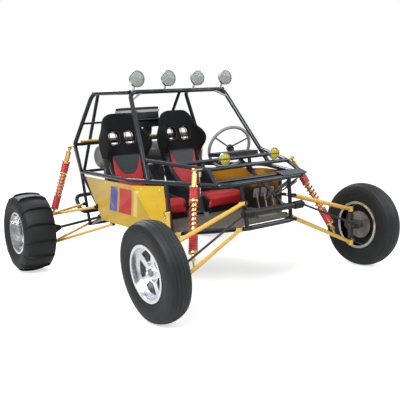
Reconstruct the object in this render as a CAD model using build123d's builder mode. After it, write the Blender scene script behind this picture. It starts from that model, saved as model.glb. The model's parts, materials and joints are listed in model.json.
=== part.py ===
# Two-seat off-road kart: tube frame, long-travel arms, paddle tyres and an engine behind the seats.
# It faces -Y, its left is +X and +Z is up. The origin is on the ground under the middle of its box.
from build123d import *
import os
from math import cos, radians, sin

os.makedirs("parts", exist_ok=True)

# Overall sizes, millimetres
wheelbase = 2168.0
front_track = 1994.0
rear_track = 2054.0
cage_height = 1566.0
cage_half_width = 640.0

# Tyres and rims
front_tyre_radius = 337.5
front_tyre_width = 160.0
front_crown_radius = 150.0
front_rim_radius = 178.0
front_camber = 2.9
rear_tyre_radius = 360.0
rear_tyre_width = 290.0
rear_crown_radius = 480.0
rear_rim_radius = 178.0
rear_camber = -2.4
tyre_wall = 14.0
rim_wall = 6.0
rim_flange = 14.0
rim_disc_thickness = 9.0
spoke_count = 5
spoke_fillet = 9.0
hub_radius = 38.0
spindle_radius = 17.0
rear_stub_radius = 20.0
brake_disc_radius = 110.0
brake_disc_thickness = 6.0

# Tubes and sheet
main_tube = 36.0
brace_tube = 30.0
bumper_tube = 40.0
arm_tube = 30.0
lower_arm_tube = 28.0
rear_arm_tube = 25.0
gusset_tube = 16.0
sheet_thickness = 3.0
panel_thickness = 3.0
weld_gap = 0.3
running_gap = 0.3
swing_gap = 6.0
cut_overrun = 20.0

# The axles stand so that the tyres' box is centred on the origin
middle_y = (front_tyre_radius - rear_tyre_radius) / 2
front_axle_y = middle_y - wheelbase / 2
rear_axle_y = middle_y + wheelbase / 2


def crown_drop(radius, crown, camber):
    # height of a leaning wheel's centre above the ground
    return (radius - crown) * cos(radians(camber)) + crown


front_axle_z = crown_drop(front_tyre_radius, front_crown_radius, front_camber)
rear_axle_z = crown_drop(rear_tyre_radius, rear_crown_radius, rear_camber)

# Frame stations: share of cage_half_width, of wheelbase from the middle, of cage_height
frame_shares = {
    "hoop_top": (0.736, -0.006, 0.977),
    "hoop_foot": (0.955, -0.199, 0.5415),
    "roof_rear": (0.769, 0.286, 1.000),
    "shock_tower": (1.047, 0.322, 0.722),
    "belt_rear": (0.672, 0.530, 0.543),
    "stay_top": (0.683, 0.286, 1.000),
    "stay_foot": (0.625, 0.530, 0.543),
    "belt_kink": (1.040, -0.130, 0.5415),
    "belt_nose": (0.625, -0.489, 0.518),
    "hood_start": (0.905, -0.157, 0.637),
    "hood_bend": (0.592, -0.410, 0.587),
    "hood_foot": (0.650, -0.476, 0.519),
    "dash_cross": (0.735, -0.285, 0.6115),
    "floor_tail": (0.734, 0.305, 0.284),
    "floor_kink": (0.820, -0.023, 0.284),
    "floor_front": (0.845, -0.278, 0.288),
    "floor_nose": (0.328, -0.498, 0.313),
    "belt_post": (0.880, -0.281, 0.532),
    "nose_post_top": (0.360, -0.489, 0.518),
    "bumper_top": (0.690, 0.610, 0.385),
    "bumper_low": (0.690, 0.562, 0.285),
    "tail_low": (0.580, 0.550, 0.203),
}


def station(name, side=1):
    across, along, up = frame_shares[name]
    return Vector(side * cage_half_width * across, middle_y + wheelbase * along, cage_height * up)


def along(start, end, share):
    return start + (end - start) * share


# Tube bends
hoop_bend = 70.0
roof_bend = 80.0
tower_bend = 45.0
kink_bend = 400.0
nose_bend = 110.0
hood_bend = 90.0
floor_bend = 120.0
bumper_bend = 60.0


def tube(points, diameter, bends=None):
    # one bent round tube, added to the part being built
    with BuildLine() as route:
        if bends is None:
            Polyline(*points)
        else:
            FilletPolyline(*points, radius=bends)
    with BuildSketch(Plane(route.line @ 0, z_dir=route.line % 0)) as section:
        Circle(diameter / 2)
    sweep(section.sketch, path=route.line)


def sleeve(points, diameter, bends=None):
    # the same tube one weld gap larger, which notches the tubes that meet it
    with BuildPart() as cutter:
        tube(points, diameter + 2 * weld_gap, bends)
    return cutter.part


def write(built, label):
    built.part.label = label
    export_step(built.part, "parts/" + label + ".step")


def tube_node(label, runs, notches=()):
    with BuildPart() as node:
        for points, diameter, bends in runs:
            tube(points, diameter, bends)
        for notch in notches:
            add(notch, mode=Mode.SUBTRACT)
    write(node, label)
    return node.part


# Routes of the bent tubes
belt_route = [station(n, 1) for n in ("belt_rear", "belt_kink", "belt_nose")]
belt_route += [station(n, -1) for n in ("belt_nose", "belt_kink", "belt_rear")]
belt_bends = [kink_bend, nose_bend, nose_bend, kink_bend]
hoop_route = [station("hoop_foot", 1), station("hoop_top", 1), station("hoop_top", -1), station("hoop_foot", -1)]
hoop_bends = [hoop_bend, hoop_bend]
floor_route = [station(n, 1) for n in ("floor_tail", "floor_kink", "floor_front", "floor_nose")]
floor_route += [station(n, -1) for n in ("floor_nose", "floor_front", "floor_kink", "floor_tail")]
floor_bends = [kink_bend, floor_bend, floor_bend / 2, floor_bend / 2, floor_bend, kink_bend]
roof_routes = {s: [station(n, s) for n in ("hoop_top", "roof_rear", "shock_tower", "belt_rear")] for s in (1, -1)}
hood_routes = {s: [station(n, s) for n in ("hood_start", "hood_bend", "hood_foot")] for s in (1, -1)}

belt_sleeve = sleeve(belt_route, main_tube, belt_bends)
hoop_sleeve = sleeve(hoop_route, main_tube, hoop_bends)
floor_sleeve = sleeve(floor_route, main_tube, floor_bends)
roof_sleeves = {s: sleeve(roof_routes[s], main_tube, [roof_bend, tower_bend]) for s in (1, -1)}
hood_sleeves = {s: sleeve(hood_routes[s], brace_tube, [hood_bend]) for s in (1, -1)}

# Frame tubes
belt_rail = tube_node("belt_rail", [(belt_route, main_tube, belt_bends)])
windscreen_hoop = tube_node("windscreen_hoop", [(hoop_route, main_tube, hoop_bends)], [belt_sleeve])
for side, word in ((1, "left"), (-1, "right")):
    tube_node("roof_rail_" + word, [(roof_routes[side], main_tube, [roof_bend, tower_bend])],
              [hoop_sleeve, belt_sleeve])

crossings = [([station(n, 1), station(n, -1)], brace_tube, None) for n in ("roof_rear", "shock_tower", "belt_rear")]
roof_cross_sleeve, tower_sleeve, tail_sleeve = [sleeve(*run) for run in crossings]
roof_notches = [roof_sleeves[1], roof_sleeves[-1]]

stays = [([station("stay_top", s), station("stay_foot", s)], brace_tube, None) for s in (1, -1)]
tube_node("rear_stays", stays, [roof_cross_sleeve, tail_sleeve] + roof_notches)
stay_sleeves = [sleeve(*run) for run in stays]

hood_runs = [(hood_routes[s], brace_tube, [hood_bend]) for s in (1, -1)]
tube_node("hood_rails", hood_runs, [hoop_sleeve, belt_sleeve])
hood_crossings = [([station(n, 1), station(n, -1)], brace_tube, None) for n in ("dash_cross", "hood_bend")]
nose_cross_share = 0.80
nose_cross_ends = [along(station("hood_bend", s), station("hood_foot", s), nose_cross_share) for s in (1, -1)]
hood_crossings.append((nose_cross_ends, brace_tube, None))

# A sheet bracket on the left lies over the last cross tube and the belt's nose
nose_plate_width = 250.0
nose_plate_thickness = 4.0
nose_plate_share = 0.71
rear_line = nose_cross_ends[0]
front_line = station("belt_nose")
plate_x = Vector(nose_plate_share * front_line.X, 0, 0)
plate_slope = Vector(0, front_line.Y - rear_line.Y, front_line.Z - rear_line.Z).normalized()
plate_up = Vector(0, plate_slope.Z, -plate_slope.Y)
plate_rear = plate_x + Vector(0, rear_line.Y, rear_line.Z) + plate_up * (brace_tube / 2 + weld_gap)
plate_front = plate_x + Vector(0, front_line.Y, front_line.Z) + plate_up * (main_tube / 2 + weld_gap)
plate_length = plate_front - plate_rear
plate_plane = Plane((plate_rear + plate_front) / 2, x_dir=(1, 0, 0), z_dir=Vector(0, plate_length.Z, -plate_length.Y))
with BuildPart() as hood_cross_tubes:
    for points, diameter, bends in hood_crossings:
        tube(points, diameter, bends)
    with BuildSketch(plate_plane) as nose_plate:
        RectangleRounded(nose_plate_width, plate_length.length + brace_tube, brace_tube / 3)
    extrude(nose_plate.sketch, amount=nose_plate_thickness)
    for notch in (hood_sleeves[1], hood_sleeves[-1], belt_sleeve):
        add(notch, mode=Mode.SUBTRACT)
write(hood_cross_tubes, "hood_cross_tubes")

# Floor frame: a ladder with a sheet on top
floor_crossings = [([station(n, 1), station(n, -1)], main_tube, None)
                   for n in ("floor_tail", "floor_kink", "floor_front")]
tube_node("floor_frame", [(floor_route, main_tube, floor_bends)] + floor_crossings)
floor_sleeves = [floor_sleeve] + [sleeve(*run) for run in floor_crossings]

# Posts between the floor and the belt
post_runs = []
for s in (1, -1):
    post_runs.append(([station("floor_front", s), station("belt_post", s)], brace_tube, None))
    post_runs.append(([station("floor_tail", s), station("belt_rear", s)], brace_tube, None))
    post_runs.append(([station("floor_nose", s), station("nose_post_top", s)], brace_tube, None))
tube_node("frame_posts", post_runs, [belt_sleeve, tail_sleeve] + floor_sleeves + roof_notches)
post_sleeves = [sleeve(*run) for run in post_runs]
rack_share = 0.36
rack_ends = [along(station("floor_nose", s), station("nose_post_top", s), rack_share) for s in (1, -1)]
rack_run = (rack_ends, brace_tube, None)
tube_node("rack_cross_tube", [rack_run], post_sleeves)
rack_cross_sleeve = sleeve(*rack_run)

# Rear subframe: one bent tube a side, from the floor's tail to the belt's tail
subframe_runs = [([station(n, s) for n in ("floor_tail", "tail_low", "belt_rear")], brace_tube, [tower_bend])
                 for s in (1, -1)]
tube_node("rear_subframe", subframe_runs, [belt_sleeve, tail_sleeve] + floor_sleeves + roof_notches + post_sleeves)
subframe_sleeves = [sleeve(*run) for run in subframe_runs]

tail_cross = ([station("tail_low", 1), station("tail_low", -1)], brace_tube, None)
air_bar_share = 0.59
air_bar_tube = 20.0
air_bar_run = ([along(station("roof_rear", s), station("shock_tower", s), air_bar_share) for s in (1, -1)],
               air_bar_tube, None)
tube_node("rear_cross_tubes", crossings + [tail_cross, air_bar_run],
          roof_notches + [belt_sleeve] + subframe_sleeves)

# Corner gussets: short bars across the windscreen hoop's corners and from each shock tower to its stay
gusset_header_share = 0.755
gusset_leg_share = 0.10
gusset_stay_share = 0.605
gusset_runs = []
for s in (1, -1):
    top, foot = station("hoop_top", s), station("hoop_foot", s)
    gusset_runs.append(([Vector(gusset_header_share * top.X, top.Y, top.Z), along(top, foot, gusset_leg_share)],
                        gusset_tube, None))
    stay_point = along(station("stay_top", s), station("stay_foot", s), gusset_stay_share)
    gusset_runs.append(([station("shock_tower", s), stay_point], gusset_tube, None))
tube_node("corner_gussets", gusset_runs, [hoop_sleeve, tower_sleeve] + roof_notches + stay_sleeves)

# Engine cradle: two rails from the floor's tail down to the tail cross tube
cradle_share = 0.42
cradle_runs = [([along(station("floor_tail", 1), station("floor_tail", -1), s),
                 along(station("tail_low", 1), station("tail_low", -1), s)], brace_tube, None)
               for s in (0.5 - cradle_share / 2, 0.5 + cradle_share / 2)]
tube_node("engine_cradle", cradle_runs, floor_sleeves + [sleeve(*tail_cross)])

# Rear bumper: a closed loop that leans forward at its foot
bumper_reach = (brace_tube + bumper_tube) / 2 + weld_gap
low_share = (station("bumper_low").Z - station("tail_low").Z) / (station("belt_rear").Z - station("tail_low").Z)
low_y = along(station("tail_low"), station("belt_rear"), low_share).Y + bumper_reach
bumper_low = station("bumper_low")
loop = [station("bumper_top", 1), Vector(bumper_low.X, low_y, bumper_low.Z),
        Vector(-bumper_low.X, low_y, bumper_low.Z), station("bumper_top", -1)]
with BuildPart() as rear_bumper:
    with BuildLine() as bumper_line:
        FilletPolyline(*loop, radius=bumper_bend, close=True)
    with BuildSketch(Plane(bumper_line.line @ 0, z_dir=bumper_line.line % 0)):
        Circle(bumper_tube / 2)
    sweep(path=bumper_line.line)
write(rear_bumper, "rear_bumper")

# Floor sheet, laid on the ladder and bent up towards the nose
floor_lift = main_tube / 2 + 2 * weld_gap
nose_sheet_share = 0.93
tail, kink, front, nose = [station(n) for n in ("floor_tail", "floor_kink", "floor_front", "floor_nose")]
nose_end = along(front, nose, nose_sheet_share)
with BuildPart() as floor_pan:
    with BuildSketch(Plane.XY.offset(front.Z + floor_lift)) as flat_sheet:
        with BuildLine():
            Polyline((tail.X, tail.Y), (kink.X, kink.Y), (front.X, front.Y), (-front.X, front.Y),
                     (-kink.X, kink.Y), (-tail.X, tail.Y), close=True)
        make_face()
    extrude(flat_sheet.sketch, amount=sheet_thickness)
    slope = Vector(0, nose_end.Y - front.Y, nose_end.Z - front.Z)
    with BuildSketch(Plane((0, front.Y, front.Z + floor_lift), x_dir=(-1, 0, 0),
                           z_dir=(0, slope.Z, -slope.Y))) as bent_sheet:
        with BuildLine():
            Polyline((-front.X, 0), (front.X, 0), (nose_end.X, slope.length), (-nose_end.X, slope.length), close=True)
        make_face()
    extrude(bent_sheet.sketch, amount=sheet_thickness)
    for notch in post_sleeves + subframe_sleeves:
        add(notch, mode=Mode.SUBTRACT)
write(floor_pan, "floor_pan")
floor_top = front.Z + floor_lift + sheet_thickness


# Wheels. Each is built about its own axle, which leans with the camber.
def wheel_plane(side, x, y, z, camber):
    out = Vector(side * cos(radians(camber)), 0, -sin(radians(camber)))
    return Plane(origin=(side * x, y, z), x_dir=out, z_dir=(0, -side, 0))


def tyre(plane, radius, width, crown, rim_radius):
    # a hollow section: crown arc, shoulders, side walls and beads on the rim
    half = width / 2
    shoulder_share = 0.86
    bead_share = 0.78
    edge = half * shoulder_share
    drop = crown - (crown ** 2 - edge ** 2) ** 0.5
    bead = half * bead_share
    seat = rim_radius + running_gap
    flange = seat + rim_flange
    side_height = (radius - seat) / 2 + seat
    with BuildSketch(plane) as section:
        with BuildLine():
            ThreePointArc((-edge, radius - drop), (0, radius), (edge, radius - drop))
            ThreePointArc((edge, radius - drop), (half, side_height), (bead, flange))
            Polyline((bead, flange), (bead, seat), (bead - tyre_wall, seat))
            ThreePointArc((bead - tyre_wall, seat), (half - tyre_wall, side_height),
                          (edge - tyre_wall, radius - drop - tyre_wall))
            ThreePointArc((edge - tyre_wall, radius - drop - tyre_wall), (0, radius - tyre_wall),
                          (-edge + tyre_wall, radius - drop - tyre_wall))
            ThreePointArc((-edge + tyre_wall, radius - drop - tyre_wall),
                          (-half + tyre_wall, side_height), (-bead + tyre_wall, seat))
            Polyline((-bead + tyre_wall, seat), (-bead, seat), (-bead, flange))
            ThreePointArc((-bead, flange), (-half, side_height), (-edge, radius - drop))
        make_face()
    revolve(section.sketch, axis=Axis(plane.origin, plane.x_dir))


def rim(plane, radius, width, disc_x, bore, back_x):
    # barrel with two flanges, a spoked disc at disc_x and a hub from back_x outwards
    bead_share = 0.78
    half = width / 2 * bead_share
    barrel = radius - rim_wall
    lip = radius + rim_flange
    with BuildSketch(plane) as section:
        with BuildLine():
            Polyline((-half - rim_wall, lip), (-half - running_gap, lip), (-half - running_gap, radius),
                     (half + running_gap, radius), (half + running_gap, lip), (half + rim_wall, lip),
                     (half + rim_wall, barrel), (-half - rim_wall, barrel), close=True)
        make_face()
        with BuildLine():
            Polyline((disc_x, barrel), (disc_x + rim_disc_thickness, barrel),
                     (disc_x + rim_disc_thickness, bore), (disc_x, bore), close=True)
        make_face()
        with BuildLine():
            Polyline((back_x, bore), (back_x, hub_radius), (disc_x + 2 * rim_disc_thickness, hub_radius),
                     (disc_x + 2 * rim_disc_thickness, bore), close=True)
        make_face()
    revolve(section.sketch, axis=Axis(plane.origin, plane.x_dir))
    window_shares = (0.42, 0.86)
    window_half_angles = (18.0, 26.0)
    face = Plane(origin=plane.from_local_coords((disc_x, 0, 0)), x_dir=plane.z_dir, z_dir=plane.x_dir)
    inner, outer = [barrel * share for share in window_shares]
    inner_angle, outer_angle = [radians(angle) for angle in window_half_angles]
    with BuildSketch(face) as windows:
        with PolarLocations(0, spoke_count):
            with BuildSketch(mode=Mode.PRIVATE) as window:
                with BuildLine():
                    ThreePointArc((inner * cos(inner_angle), -inner * sin(inner_angle)), (inner, 0),
                                  (inner * cos(inner_angle), inner * sin(inner_angle)))
                    Line((inner * cos(inner_angle), inner * sin(inner_angle)),
                         (outer * cos(outer_angle), outer * sin(outer_angle)))
                    ThreePointArc((outer * cos(outer_angle), outer * sin(outer_angle)), (outer, 0),
                                  (outer * cos(outer_angle), -outer * sin(outer_angle)))
                    Line((outer * cos(outer_angle), -outer * sin(outer_angle)),
                         (inner * cos(inner_angle), -inner * sin(inner_angle)))
                make_face()
                fillet(window.vertices(), radius=spoke_fillet)
            add(window.sketch)
    extrude(windows.sketch, amount=rim_disc_thickness, mode=Mode.SUBTRACT)


# Wheel carriers and what turns on them
knuckle_inset = 137.0
carrier_inset = 190.0
ball_rise = 100.0
ball_radius = 19.0
ball_seat = 16.0
stud_radius = 6.0
carrier_depth = 34.0
carrier_width = 60.0
steer_arm_forward = 95.0
steer_arm_rise = 35.0
steer_arm_tube = 20.0
spindle_end = 12.0
boss_radius = 30.0
shaft_radius = 13.0
joint_radius = 42.0
joint_length = 75.0
outer_joint_gap = 5.0
inner_joint_gap = 4.0
output_x = 250.0
output_rise = 35.0
output_y = rear_axle_y
output_z = rear_axle_z + output_rise
turning_gap = 5.0
caliper_width = 54.0
caliper_height = 90.0
caliper_cheek = 13.0
caliper_plate = 12.0
caliper_overlap = 8.0
boot_rib = 4.0


def disc_plane(plane, axial):
    # a plane across the axle, axial millimetres outboard of the wheel's middle
    return Plane(origin=plane.from_local_coords((axial, 0, 0)), x_dir=plane.z_dir, z_dir=plane.x_dir)


def rod(start, end, radius, mode=Mode.ADD):
    # a straight round bar between two points
    with BuildSketch(Plane(start, z_dir=end - start)) as section:
        Circle(radius)
    extrude(section.sketch, amount=(end - start).length, mode=mode)


def drum(centre, way, radius, length, mode=Mode.ADD):
    # a short cylinder about centre, with its axis along way
    half = way.normalized() * (length / 2)
    rod(centre - half, centre + half, radius, mode)


def turned(start, end, outline, mode=Mode.ADD):
    # a body of revolution from start to end; outline holds (distance along, radius)
    reach = end - start
    side_way = reach.cross(Vector(0, 0, 1))
    with BuildSketch(Plane(start, x_dir=reach, z_dir=side_way)) as section:
        with BuildLine():
            Polyline(*outline, close=True)
        make_face()
    revolve(section.sketch, axis=Axis(start, reach), mode=mode)


def ribs(start, end, first_radius, last_radius, depth, count):
    # the zigzag edge of a ribbed boot or a dense coil between two distances along it
    points = []
    for step in range(count + 1):
        share = step / count
        crest = first_radius + (last_radius - first_radius) * share
        points.append((start + (end - start) * share, crest - depth))
        if step < count:
            points.append((start + (end - start) * (share + 0.5 / count), crest))
    return points


front_planes = {s: wheel_plane(s, front_track / 2, front_axle_y, front_axle_z, front_camber) for s in (1, -1)}
rear_planes = {s: wheel_plane(s, rear_track / 2, rear_axle_y, rear_axle_z, rear_camber) for s in (1, -1)}
ball_offset = ball_rise + ball_radius + ball_seat
hub_back = -3 * rim_disc_thickness
disc_back = hub_back - weld_gap - brake_disc_thickness

for side, word in ((1, "left"), (-1, "right")):
    front_plane = front_planes[side]
    rear_plane = rear_planes[side]
    with BuildPart() as front_tyre:
        tyre(front_plane, front_tyre_radius, front_tyre_width, front_crown_radius, front_rim_radius)
    write(front_tyre, "front_tyre_" + word)
    with BuildPart() as rear_tyre:
        tyre(rear_plane, rear_tyre_radius, rear_tyre_width, rear_crown_radius, rear_rim_radius)
    write(rear_tyre, "rear_tyre_" + word)
    with BuildPart() as front_rim:
        rim(front_plane, front_rim_radius, front_tyre_width, rim_disc_thickness, spindle_radius + running_gap,
            hub_back)
    write(front_rim, "front_rim_" + word)
    with BuildPart() as rear_rim:
        rim(rear_plane, rear_rim_radius, rear_tyre_width, -rim_disc_thickness, 0, hub_back)
        stub_inner = -carrier_inset - carrier_depth
        with BuildSketch(disc_plane(rear_plane, stub_inner)) as stub:
            Circle(rear_stub_radius)
        extrude(stub.sketch, amount=hub_back - stub_inner)
    write(rear_rim, "rear_rim_" + word)
    with BuildPart() as brake_disc:
        with BuildSketch(disc_plane(front_plane, disc_back)):
            Circle(brake_disc_radius)
            Circle(spindle_radius + running_gap, mode=Mode.SUBTRACT)
        extrude(amount=brake_disc_thickness)
    write(brake_disc, "brake_disc_" + word)

    # Knuckle: an upright between two ball joints, a spindle, a steering arm and a brake caliper on a plate
    arm_root = front_plane.from_local_coords((-knuckle_inset, steer_arm_rise, 0))
    arm_tip = arm_root + Vector(0, -steer_arm_forward, 0)
    caliper_back = disc_back - turning_gap - caliper_cheek
    caliper_front = hub_back - weld_gap + turning_gap + caliper_cheek
    caliper_middle = brake_disc_radius - caliper_overlap
    with BuildPart() as knuckle:
        with BuildSketch(front_plane.offset(-carrier_width / 4)) as upright:
            with Locations((-knuckle_inset, 0)):
                RectangleRounded(carrier_depth, 2 * ball_rise, carrier_depth / 4)
        extrude(upright.sketch, amount=carrier_width / 2)
        with BuildSketch(disc_plane(front_plane, -knuckle_inset)) as boss:
            Circle(boss_radius)
        extrude(boss.sketch, amount=knuckle_inset + caliper_back)
        with BuildSketch(disc_plane(front_plane, caliper_back - caliper_plate)) as plate:
            with Locations((-side * caliper_middle / 2, 0)):
                RectangleRounded(caliper_middle + 2 * boss_radius, 2 * boss_radius, boss_radius / 3)
        extrude(plate.sketch, amount=caliper_plate + caliper_cheek / 2)
        with BuildSketch(disc_plane(front_plane, caliper_back)) as caliper:
            with Locations((-side * caliper_middle, 0)):
                RectangleRounded(caliper_width, caliper_height, caliper_width / 5)
        extrude(caliper.sketch, amount=caliper_front - caliper_back)
        with BuildSketch(disc_plane(front_plane, disc_back - turning_gap)) as slot:
            Circle(brake_disc_radius + turning_gap)
        extrude(slot.sketch, amount=brake_disc_thickness + 2 * turning_gap, mode=Mode.SUBTRACT)
        with BuildSketch(disc_plane(front_plane, -knuckle_inset)) as spindle:
            Circle(spindle_radius)
        extrude(spindle.sketch, amount=knuckle_inset + spindle_end)
        for up in (1, -1):
            rod(front_plane.from_local_coords((-knuckle_inset, up * (ball_rise - ball_seat), 0)),
                front_plane.from_local_coords((-knuckle_inset, up * (ball_rise + ball_seat - running_gap), 0)),
                stud_radius)
        rod(arm_root, arm_tip, steer_arm_tube / 2)
        drum(arm_tip, Vector(0, 0, 1), 0.75 * steer_arm_tube, 1.3 * steer_arm_tube)
    write(knuckle, "steering_knuckle_" + word)

    # Rear carrier: an upright with a bearing sleeve round the stub axle
    with BuildPart() as carrier:
        with BuildSketch(rear_plane.offset(-carrier_width / 2)) as upright:
            with Locations((-carrier_inset, 0)):
                RectangleRounded(carrier_depth, 2 * ball_rise, carrier_depth / 4)
        extrude(upright.sketch, amount=carrier_width)
        with BuildSketch(disc_plane(rear_plane, -carrier_inset - carrier_depth + weld_gap)) as bearing:
            Circle(hub_radius)
        extrude(bearing.sketch, amount=2 * carrier_depth)
        for up in (1, -1):
            rod(rear_plane.from_local_coords((-carrier_inset, up * (ball_rise - ball_seat), 0)),
                rear_plane.from_local_coords((-carrier_inset, up * (ball_rise + ball_seat - running_gap), 0)),
                stud_radius)
        with BuildSketch(disc_plane(rear_plane, -carrier_inset - 2 * carrier_depth)) as bore:
            Circle(rear_stub_radius + running_gap)
        extrude(bore.sketch, amount=4 * carrier_depth, mode=Mode.SUBTRACT)
    write(carrier, "rear_carrier_" + word)

    # Half shaft with a joint cup and a ribbed boot at each end
    outer_end = rear_plane.from_local_coords((stub_inner - outer_joint_gap, 0, 0))
    inner_end = Vector(side * output_x, output_y, output_z)
    shaft_length = (outer_end - inner_end).length
    cup_length = joint_length * 0.4
    boot_edge = ribs(cup_length, joint_length, 0.85 * joint_radius, shaft_radius + 2 * boot_rib, boot_rib, 4)
    far_edge = [(shaft_length - distance, radius) for distance, radius in reversed(boot_edge)]
    with BuildPart() as half_shaft:
        turned(inner_end, outer_end, [(0, 0), (0, joint_radius), (cup_length, joint_radius)] + boot_edge
               + [(joint_length, shaft_radius), (shaft_length - joint_length, shaft_radius)] + far_edge
               + [(shaft_length - cup_length, joint_radius), (shaft_length, joint_radius), (shaft_length, 0)])
    write(half_shaft, "half_shaft_" + word)

# Suspension arms: two legs a side from bushings on the frame tubes to a ball joint
leg_shares = {"front_upper": (0.57, 0.42), "front_lower": (0.92, 0.12), "rear_upper": (0.40, 0.24),
              "rear_lower": (0.85, 0.72)}
arm_tubes = {"front_upper": arm_tube, "front_lower": lower_arm_tube, "rear_upper": rear_arm_tube,
             "rear_lower": rear_arm_tube}
bushing_radius = 15.0
bushing_length = 44.0
bushing_bolt = 6.0
bushing_standoff = 4.0
lug_thickness = 6.0
lug_edge = 2.0


def arm_points(side):
    # for each arm: its two frame tubes as pairs of ends, its two points on them, and the ball
    posts = {n: (station(a, side), station(b, side)) for n, a, b in (
        ("nose", "floor_nose", "nose_post_top"), ("door", "floor_front", "belt_post"),
        ("floor", "floor_front", "floor_nose"), ("tail", "tail_low", "belt_rear"),
        ("panel", "floor_tail", "belt_rear"), ("tail_rail", "floor_tail", "tail_low"),
        ("floor_rear", "floor_kink", "floor_tail"))}
    rails = {"front_upper": ("nose", "door"), "front_lower": ("floor", "floor"),
             "rear_upper": ("tail", "panel"), "rear_lower": ("tail_rail", "floor_rear")}
    found = {}
    for name, pair in rails.items():
        plane, inset = (front_planes[side], knuckle_inset) if name[0] == "f" else (rear_planes[side], carrier_inset)
        up = 1 if "upper" in name else -1
        tubes = [posts[rail] for rail in pair]
        frame_points = [along(*ends, share) for ends, share in zip(tubes, leg_shares[name])]
        found[name] = tubes, frame_points, plane.from_local_coords((-inset, up * ball_offset, 0))
    return found


def bushing_middles(name, tubes, frame_points, side):
    # a bushing stands off its tube, square to both, and the last one hangs below its rail
    way = (frame_points[0] - frame_points[1]).normalized()
    tube_radius = main_tube / 2 if name == "front_lower" else brace_tube / 2
    middles = []
    for (start, end), point in zip(tubes, frame_points):
        tube_way = (end - start).normalized()
        across = Vector(side, 0, 0)
        if "upper" in name:
            normal = tube_way.cross(way).normalized()
            normal = normal if normal.dot(across) > 0 else -normal
        else:
            normal = (across - tube_way * across.dot(tube_way)).normalized()
        middles.append(point + normal * (tube_radius + bushing_radius + bushing_standoff))
    if name == "rear_lower":
        middles[1] = frame_points[1] - Vector(0, 0, main_tube / 2 + bushing_radius + bushing_standoff)
    return middles


arms = {s: arm_points(s) for s in (1, -1)}
bushings = {}
leg_sleeves = []
for side in (1, -1):
    for name, diameter in arm_tubes.items():
        tubes, frame_points, outer = arms[side][name]
        middles = bushing_middles(name, tubes, frame_points, side)
        way = (middles[0] - middles[1]).normalized()
        bushings[side, name] = (frame_points, middles, way)
        leg_sleeves += [sleeve([middle, outer], diameter) for middle in middles]

for name, diameter in arm_tubes.items():
    with BuildPart() as arm:
        for side in (1, -1):
            frame_points, middles, way = bushings[side, name]
            outer = arms[side][name][2]
            for middle in middles:
                rod(middle, outer, diameter / 2)
                drum(middle, way, bushing_radius, bushing_length)
            planes = front_planes if name[0] == "f" else rear_planes
            drum(outer, planes[side].y_dir, ball_radius * 1.1, 2 * ball_radius)
            for middle in middles:
                drum(middle, way, bushing_bolt + running_gap, bushing_length + cut_overrun, Mode.SUBTRACT)
    write(arm, name + "_arms")

# Arm brackets: a pair of lugs and a bolt at each bushing
frame_notches = [floor_sleeve, belt_sleeve] + floor_sleeves + post_sleeves + subframe_sleeves
with BuildPart() as arm_brackets:
    for (side, name), (frame_points, middles, way) in bushings.items():
        for frame_point, middle in zip(frame_points, middles):
            reach = middle - frame_point
            reach = reach - way * reach.dot(way)
            for end in (1, -1):
                face = middle + way * (end * (bushing_length / 2 + weld_gap) + (end - 1) / 2 * lug_thickness)
                with BuildSketch(Plane(face, x_dir=reach, z_dir=way)) as lug:
                    Circle(bushing_radius - lug_edge)
                    with Locations((-reach.length / 2, 0)):
                        Rectangle(reach.length, 2 * (bushing_radius - lug_edge))
                extrude(lug.sketch, amount=lug_thickness)
    for notch in frame_notches + leg_sleeves:
        add(notch, mode=Mode.SUBTRACT)
    for frame_points, middles, way in bushings.values():
        for middle in middles:
            drum(middle, way, bushing_bolt, bushing_length + 2 * lug_thickness)
write(arm_brackets, "arm_brackets")

# Side panels: folded sheet from under the belt to outside the floor rail, cut out round two arm brackets
panel_top_gap = 3.0
bracket_room = 20.0
panel_top_z = station("belt_post").Z - main_tube / 2 - panel_top_gap
panel_low_z = station("floor_kink").Z - main_tube / 2 + panel_top_gap
panel_rear_share = 0.47
panel_fold_shares = (0.945, -0.252)


def panel_outline(points, side):
    # a strip of sheet that follows points in plan, outer edge first
    outer = [(side * x, y) for x, y in points]
    inner = [(side * (x - panel_thickness), y) for x, y in reversed(points)]
    Polyline(*outer, *inner, close=True)


kink, belt_rear, front_post = station("belt_kink"), station("belt_rear"), station("belt_post")
panel_rear_y = middle_y + wheelbase * panel_rear_share
rear_slope = (panel_rear_y - kink.Y) / (belt_rear.Y - kink.Y)
panel_front_y = front_post.Y + brace_tube / 2
floor_outside = main_tube / 2 + weld_gap + panel_thickness
panel_top = [(kink.X + (belt_rear.X - kink.X) * rear_slope, panel_rear_y), (kink.X, kink.Y),
             (front_post.X + brace_tube / 2, panel_front_y)]
fold_x = cage_half_width * panel_fold_shares[0]
fold_y = middle_y + wheelbase * panel_fold_shares[1]
panel_low = [(station("floor_tail").X + floor_outside, station("floor_tail").Y), (fold_x, fold_y),
             (station("floor_front").X + floor_outside, panel_front_y)]
for side, word in ((1, "left"), (-1, "right")):
    with BuildPart() as side_panel:
        with BuildSketch(Plane.XY.offset(panel_top_z)):
            with BuildLine():
                panel_outline(panel_top, side)
            make_face()
        with BuildSketch(Plane.XY.offset(panel_low_z)):
            with BuildLine():
                panel_outline(panel_low, side)
            make_face()
        loft(ruled=True)
        for name in ("front_upper", "rear_upper"):
            frame_points, middles, way = bushings[side, name]
            drum(middles[1], way, bushing_radius + bracket_room, bushing_length + 2 * (lug_thickness + bracket_room),
                 Mode.SUBTRACT)
    write(side_panel, "side_panel_" + word)

# Shock absorbers: eyes, a damper body with a collar, a slider ring, a rod and a bottom perch
damper_radius = 20.0
piston_radius = 11.0
collar_radius = 34.0
collar_length = 14.0
eye_radius = 14.0
bolt_radius = 7.0
front_eye_share = 0.93
front_foot_share = 0.71
rear_foot_share = 0.88
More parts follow.
